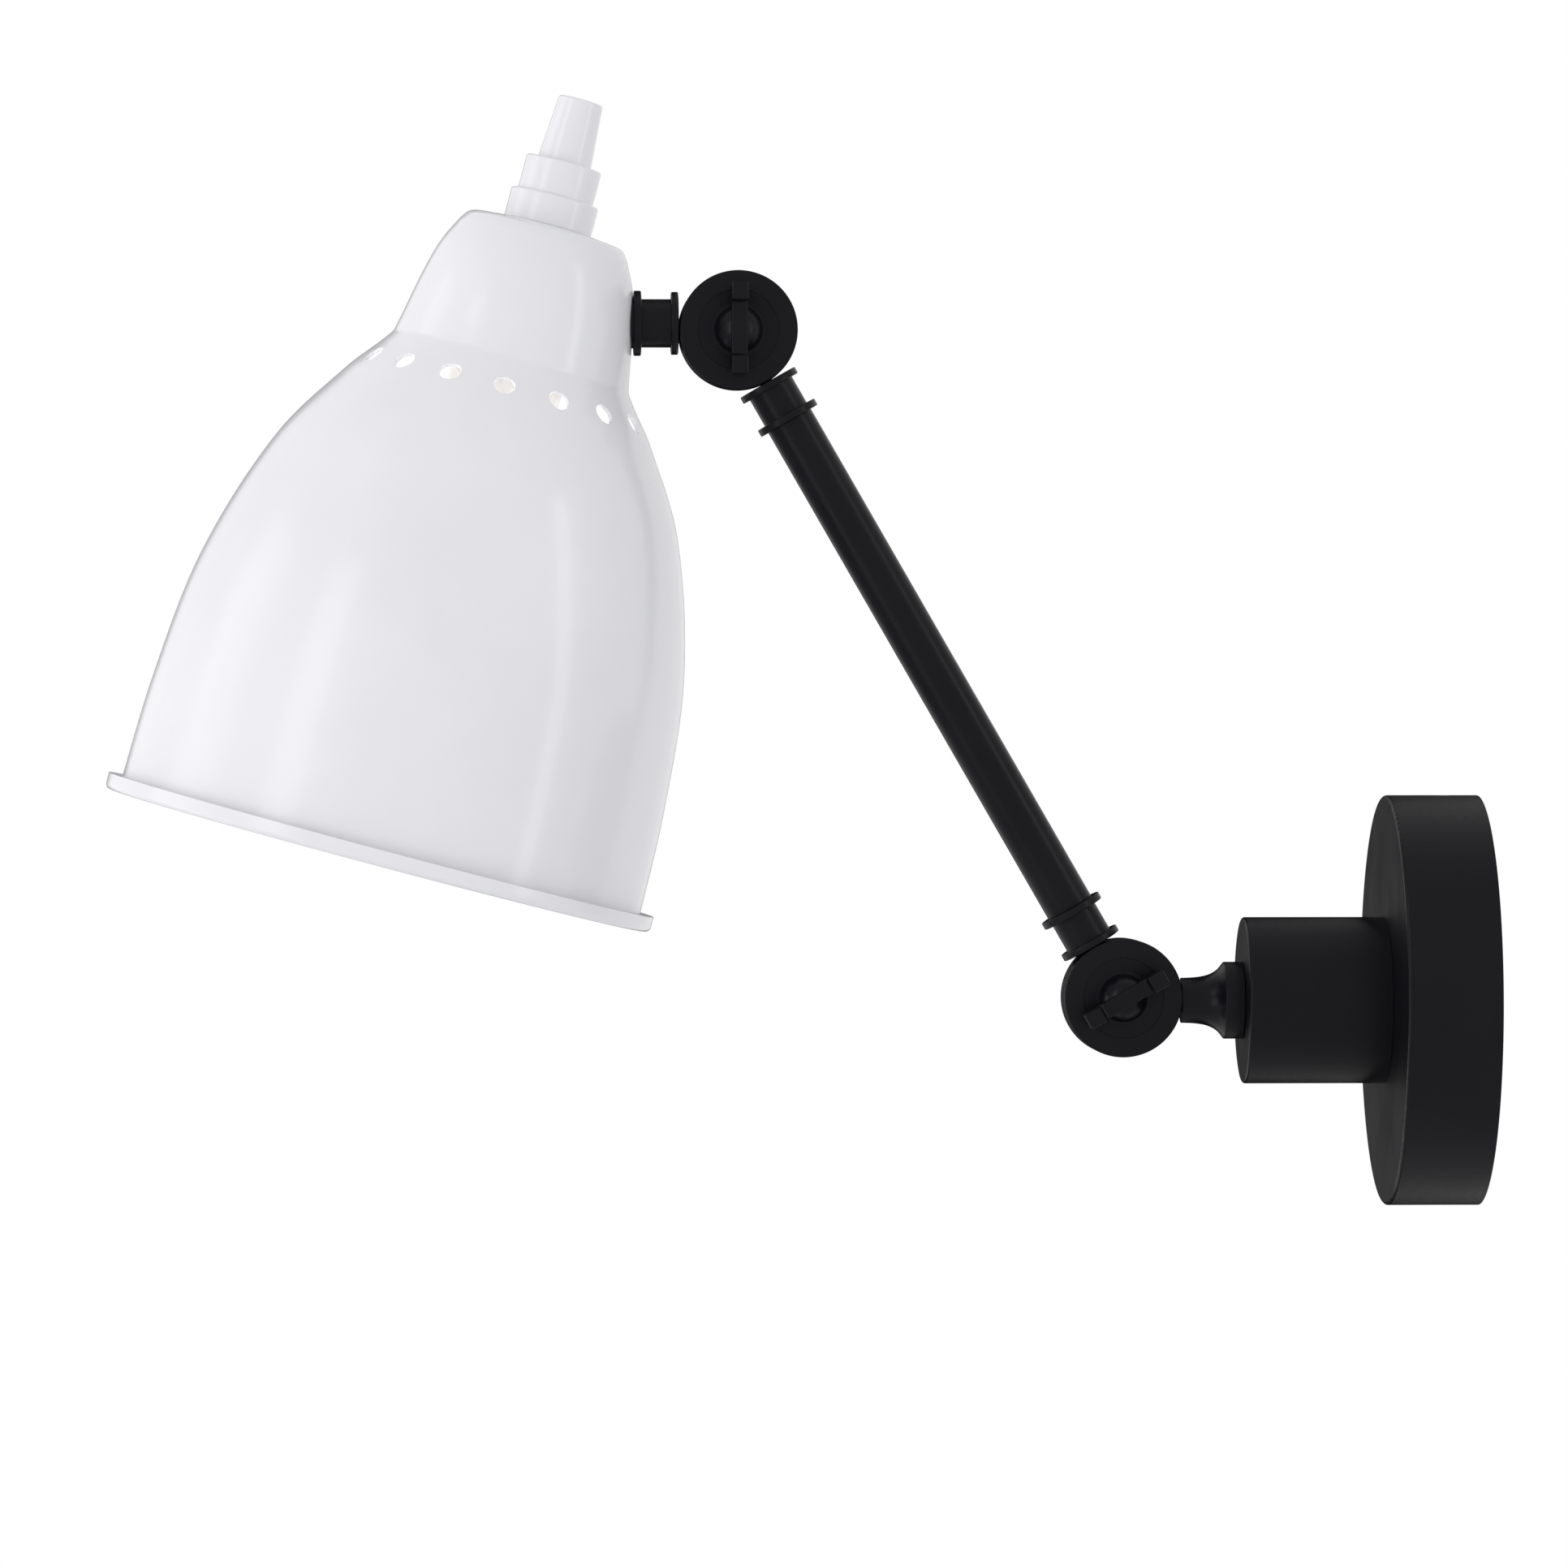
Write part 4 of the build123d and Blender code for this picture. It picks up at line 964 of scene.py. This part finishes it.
class LampShade(bpy.types.Operator):
    """Spin the bell shade, open its vents and turn up its rim"""

    bl_idname = "lamp.shade"
    bl_label = "Shade"

    def execute(self, context):
        wall = sizes().shade_wall / MM
        columns_per_vent = 16
        columns = sizes().vent_count * columns_per_vent
        line = ArcLine(shade_line())
        vent = line.length_at_radius(VENT_CIRCLE)
        pitch = math.tau * VENT_CIRCLE / columns
        rows = [line.at(length) for length in shade_rows(line, vent, pitch)]
        shelf = RIM_BASE + wall
        shelf_start = 65.9
        lip = 68.3 - wall
        lip_top = RIM_BASE + 3.85
        turned_up = [(shelf_start, shelf), (lip, shelf), (lip, shelf + 1.2), (lip, lip_top)]
        bm = spun(rows + turned_up, steps=columns)
        for face in bm.faces:
            face.normal_update()
        soften(bm, 0.3, (lip, shelf), segments=3)
        open_vents(bm, line, vent, pitch, columns)
        outwards = max(bm.faces, key=lambda face: face.calc_center_median().x)
        if outwards.normal.x < 0:
            bmesh.ops.reverse_faces(bm, faces=bm.faces)
        bmesh.ops.solidify(bm, geom=bm.faces, thickness=-sizes().shade_wall)
        bmesh.ops.recalc_face_normals(bm, faces=bm.faces)
        piece(
            "shade_bell", bm, shade_place(), "head", "white_enamel", ["shade"], sharp=50.0
        )
        return {"FINISHED"}


class LampCap(bpy.types.Operator):
    """Turn the stepped cap and the tapered sleeve on it"""

    bl_idname = "lamp.cap"
    bl_label = "Cap"

    def execute(self, context):
        wide = 10.85
        narrow = 9.35
        step = CAP_SEAT + 7.35
        top = step + 8.55
        tip = top + 15.8
        cap = spun(
            [(THREAD_RADIUS, CAP_SEAT), (wide, CAP_SEAT), (wide, step), (narrow, step),
             (narrow, top), (THREAD_RADIUS, top)],
            steps=128, closed=True,
        )
        soften(cap, 0.6, (wide, step), (narrow, top), segments=4)
        soften(cap, 0.15, (wide, CAP_SEAT), (narrow, step), segments=2)
        piece("shade_cap_turned", cap, shade_place(), "head", "white_enamel", ["shade_cap"])
        tip_radius = 5.45
        foot_radius = 6.6
        spigot = 4.97
        spigot_end = top - 6.0
        bore = 3.0
        bore_end = top + 12.0
        cone = spun(
            [(0, tip), (tip_radius, tip), (foot_radius, top), (spigot, top), (spigot, spigot_end),
             (bore, spigot_end), (bore, bore_end), (0, bore_end)],
            steps=112,
        )
        soften(cone, 0.6, (tip_radius, tip), segments=4)
        piece("cap_cone_turned", cone, shade_place(), "head", "white_enamel", ["cap_cone"])
        return {"FINISHED"}


# ---------------------------------------------------------------- lamp holder and bulb
def thread_line(root, crest, start, end, pitch):
    """A rolled thread's wavy line from one height down to another."""
    count = max(round((start - end) / pitch * 6), 6)
    middle = (root + crest) / 2
    swing = (crest - root) / 2
    return [
        (middle + swing * math.cos(math.tau * (start - end) * index / count / pitch),
         start + (end - start) * index / count)
        for index in range(count + 1)
    ]


class LampHolder(bpy.types.Operator):
    """Mould the lamp holder"""

    bl_idname = "lamp.holder"
    bl_label = "Lamp holder"

    def execute(self, context):
        top = 36.0
        base = 23.0
        mouth = -6.0
        boss = 7.5
        dome_radius = 13.0
        dome_top = 31.0
        dome_inside = 11.4
        dome_roof = 29.4
        dome = spun(
            [(THREAD_RADIUS, top), (boss, top), (boss, dome_top), (dome_radius, dome_top),
             (dome_radius, base), (dome_inside, base), (dome_inside, dome_roof),
             (THREAD_RADIUS, dome_roof)],
            steps=96, closed=True,
        )
        soften(dome, 1.6, (dome_radius, dome_top), segments=5)
        soften(dome, 0.3, (boss, top), (boss, dome_top), segments=2)
        piece(
            "holder_dome_moulded", dome, shade_place(), "head", "holder_plastic",
            ["holder_dome"],
        )
        inside = 12.4
        outside = 14.0
        lip = 15.2
        lip_top = mouth + 2.0
        thread = thread_line(
            root=13.65, crest=outside, start=base - 4.0, end=base - 19.0, pitch=2.5
        )
        skirt = spun(
            [(inside, base), (outside, base), *thread, (outside, lip_top), (lip, lip_top),
             (lip, mouth), (inside, mouth)],
            steps=112, closed=True,
        )
        soften(skirt, 0.3, (outside, base), (lip, lip_top), (lip, mouth), segments=2)
        piece(
            "holder_skirt_moulded", skirt, shade_place(), "head", "holder_plastic",
            ["holder_skirt"],
        )
        shell_top = 17.0
        shell_base = -2.45
        shell_outside = 7.75
        shell_inside = 6.95
        shell = spun(
            [(shell_outside, shell_top), (shell_outside, shell_base),
             (shell_inside, shell_base), (shell_inside, shell_top)],
            steps=96, closed=True,
        )
        piece(
            "threaded_shell_pressed", shell, shade_place(), "head", "brass",
            ["threaded_shell"],
        )
        return {"FINISHED"}


class LampBulb(bpy.types.Operator):
    """Blow the bulb's globe and roll its cap"""

    bl_idname = "lamp.bulb"
    bl_label = "Bulb"

    def execute(self, context):
        radius = sizes().bulb_radius / MM
        tip = 15.35
        cap_top = tip - 1.8
        cap_base = cap_top - 22.0
        centre = cap_base - 50.0 + radius
        waist = cap_base - 6.0
        neck = 8.5
        globe = [
            (radius * math.cos(angle), centre + radius * math.sin(angle))
            for angle in evenly(-math.pi / 2, math.pi / 4, 31)
        ]
        globe[0] = (0.0, centre - radius)
        side = curved(
            [globe[-1], (neck, waist)], start_slope=(-1, 1), end_slope=(0, 1), parts=10
        )
        glass = spun([*globe[:-1], *side, (neck, cap_base), (0, cap_base)], steps=96)
        soften(glass, 0.4, (neck, cap_base), segments=2)
        piece("bulb_globe", glass, shade_place(), "head", "opal_glass", ["bulb_glass"])
        thread = thread_line(root=6.4, crest=6.9, start=cap_top - 2.0, end=cap_base, pitch=2.8)
        contact = 3.0
        cap = spun(
            [(0, cap_base), *reversed(thread), (6.2, cap_top), (contact, cap_top),
             (contact, tip - 0.4), (2.4, tip), (0, tip)],
            steps=96,
        )
        piece("bulb_cap_rolled", cap, shade_place(), "head", "bulb_metal", ["bulb_cap"])
        return {"FINISHED"}


class LampHardware(bpy.types.Operator):
    """Finish the fixings and inner parts that keep their CAD shape"""

    bl_idname = "lamp.hardware"
    bl_label = "Fixings and inner parts"

    def execute(self, context):
        shown = {
            subpart["node"]: subpart["material_slot"]
            for subpart in frame["record"]["subparts"]
            if not frame["nodes"][subpart["node"]].hide_render
        }
        for name, slot in shown.items():
            finish_node(name, finish(slot))
        return {"FINISHED"}


# ---------------------------------------------------------------- stage
STAGE_MIDDLE = Vector((0, -0.17, 0.09))
FLOOR_MIDDLE = -0.13
LAMP_RISE = 0.12
SOFTBOXES = (
    {"name": "side_box", "azimuth": -95.0, "width": 0.65, "power": 4.0},
    {"name": "front_box", "azimuth": -48.0, "width": 0.4, "power": 5.6},
    {"name": "right_strip", "azimuth": 60.0, "width": 0.2, "power": 3.6},
)
# Angles behind the lamp, in radians: where gloss still sees a pale room, and where it is dark
DARK_EDGES = ((0.19, 0.15), (-0.38, -0.28))
CAMERA_PLACE = (1.9407, -0.2563, 0.0725)
CAMERA_FORWARD = (-0.998944, 0.044803, -0.010158)
CAMERA_RIGHT = (0.0448, 0.9990, 0.0002)


def softbox(name, azimuth, width, power, height=1.6, distance=1.5):
    """A tall soft lamp that faces the middle; the azimuth runs from +X towards +Y."""
    light = bpy.data.lights.new(name, "AREA")
    light.shape = "RECTANGLE"
    light.size = width
    light.size_y = height
    light.energy = power
    made = new_object(name, light)
    angle = math.radians(azimuth)
    away = Vector((math.cos(angle), math.sin(angle), LAMP_RISE)).normalized()
    made.location = STAGE_MIDDLE + away * distance
    made.rotation_euler = away.to_track_quat("Z", "Y").to_euler()


def dark_corner(tree):
    """1 where a direction points behind the lamp, into the dark part of the room, else 0."""
    direction = node(tree, "ShaderNodeTexCoord")
    axes = node(tree, "ShaderNodeSeparateXYZ")
    join(tree, direction.outputs["Generated"], axes.inputs["Vector"])
    behind = maths(tree, "MULTIPLY", axes.outputs["X"], -1.0)
    angle = maths(tree, "ARCTAN2", axes.outputs["Y"], behind)
    sides = []
    for open_at, dark_at in DARK_EDGES:
        side = node(tree, "ShaderNodeMapRange", interpolation_type="SMOOTHSTEP")
        join(tree, angle, side.inputs["Value"])
        side.inputs["From Min"].default_value = open_at
        side.inputs["From Max"].default_value = dark_at
        sides.append(side.outputs["Result"])
    return maths(tree, "MULTIPLY", *sides)


def studio_world():
    """Even room light that camera, gloss and glass see as white; gloss sees a dark part too."""
    world = bpy.data.worlds.new("studio")
    bpy.context.scene.world = world
    world.use_nodes = True
    tree = world.node_tree
    room = tree.nodes["Background"]
    room.inputs["Color"].default_value = (1, 1, 1, 1)
    room.inputs["Strength"].default_value = bpy.context.scene.lamp_studio.room_light
    white = node(tree, "ShaderNodeBackground")
    white.inputs["Color"].default_value = (1, 1, 1, 1)
    path = node(tree, "ShaderNodeLightPath")
    dark = maths(tree, "MULTIPLY", dark_corner(tree), path.outputs["Is Glossy Ray"])
    join(tree, maths(tree, "SUBTRACT", 1.0, dark), white.inputs["Strength"])
    seen = maths(
        tree, "ADD", path.outputs["Is Camera Ray"], path.outputs["Is Glossy Ray"], clamp=True
    )
    seen = maths(tree, "ADD", seen, path.outputs["Is Transmission Ray"], clamp=True)
    mix = node(tree, "ShaderNodeMixShader")
    join(tree, seen, mix.inputs["Fac"])
    join(tree, room.outputs["Background"], mix.inputs[1])
    join(tree, white.outputs["Background"], mix.inputs[2])
    join(tree, mix.outputs["Shader"], tree.nodes["World Output"].inputs["Surface"])


def studio_floor():
    """A pale floor that the camera sees a little whiter and gloss doesn't see."""
    studio = bpy.context.scene.lamp_studio
    bm = bmesh.new()
    bmesh.ops.create_circle(bm, cap_ends=True, radius=studio.floor_radius, segments=96)
    bmesh.ops.translate(bm, vec=(0, FLOOR_MIDDLE, -studio.floor_drop), verts=bm.verts)
    mesh = as_mesh("studio_floor", bm)
    floor = new_object("studio_floor", mesh)
    material, tree, shader = new_finish("studio_floor")
    cloud = object_noise(tree, 3.0)
    pale = studio.floor
    two_tone(tree, shader, cloud, pale, [part * 0.985 for part in pale])
    shader.inputs["Roughness"].default_value = 0.9
    shader.inputs["Emission Color"].default_value = (1, 1, 1, 1)
    path = node(tree, "ShaderNodeLightPath")
    lift = maths(tree, "MULTIPLY", path.outputs["Is Camera Ray"], studio.floor_lift)
    join(tree, lift, shader.inputs["Emission Strength"])
    mesh.materials.append(material)
    floor.visible_glossy = False


def studio_camera():
    """The photograph's viewpoint."""
    camera = bpy.data.cameras.new("photo_camera")
    camera.lens = bpy.context.scene.lamp_studio.lens
    camera.sensor_width = 36.0
    camera.clip_end = 20.0
    made = new_object("photo_camera", camera)
    forward = Vector(CAMERA_FORWARD).normalized()
    right = Vector(CAMERA_RIGHT)
    right = (right - forward * right.dot(forward)).normalized()
    turn = Matrix((right, right.cross(forward), -forward)).transposed().to_4x4()
    made.matrix_world = Matrix.Translation(CAMERA_PLACE) @ turn
    bpy.context.scene.camera = made


class LampStage(bpy.types.Operator):
    """Set the floor, the soft lamps and the camera"""

    bl_idname = "lamp.stage"
    bl_label = "Stage"

    def execute(self, context):
        scene = bpy.context.scene
        scene.view_settings.view_transform = "Standard"
        studio_world()
        studio_floor()
        for settings in SOFTBOXES:
            softbox(**settings)
        studio_camera()
        return {"FINISHED"}


# ---------------------------------------------------------------- add-on
OPERATORS = (
    LampBarrel, LampStem, LampKnuckles, LampWingScrews, LampCollars, LampArmTube,
    LampShade, LampCap, LampHolder, LampBulb, LampHardware, LampStage,
)


class LampPanel(bpy.types.Panel):
    """Sizes, colours and pieces of the wall lamp"""

    bl_idname = "VIEW3D_PT_wall_lamp"
    bl_label = "Wall lamp"
    bl_space_type = "VIEW_3D"
    bl_region_type = "UI"
    bl_category = "Lamp"

    def draw(self, context):
        layout = self.layout
        for label, _ in SETTINGS:
            settings = getattr(context.scene, label)
            box = layout.box()
            for key in settings.bl_rna.properties.keys():
                if key not in {"rna_type", "name"}:
                    box.prop(settings, key)
        for operator in OPERATORS:
            layout.operator(operator.bl_idname)


SETTINGS = (
    ("lamp_sizes", LampSizes), ("lamp_finishes", LampFinishes), ("lamp_studio", LampStudio),
)


def register():
    for label, group in SETTINGS:
        bpy.utils.register_class(group)
        setattr(bpy.types.Scene, label, PointerProperty(type=group))
    for operator in OPERATORS:
        bpy.utils.register_class(operator)
    bpy.utils.register_class(LampPanel)


def unregister():
    bpy.utils.unregister_class(LampPanel)
    for operator in reversed(OPERATORS):
        bpy.utils.unregister_class(operator)
    for label, group in reversed(SETTINGS):
        delattr(bpy.types.Scene, label)
        bpy.utils.unregister_class(group)


def main():
    register()
    for operator in OPERATORS:
        getattr(bpy.ops.lamp, operator.bl_idname.split(".")[1])()


if __name__ == "__main__":
    main()
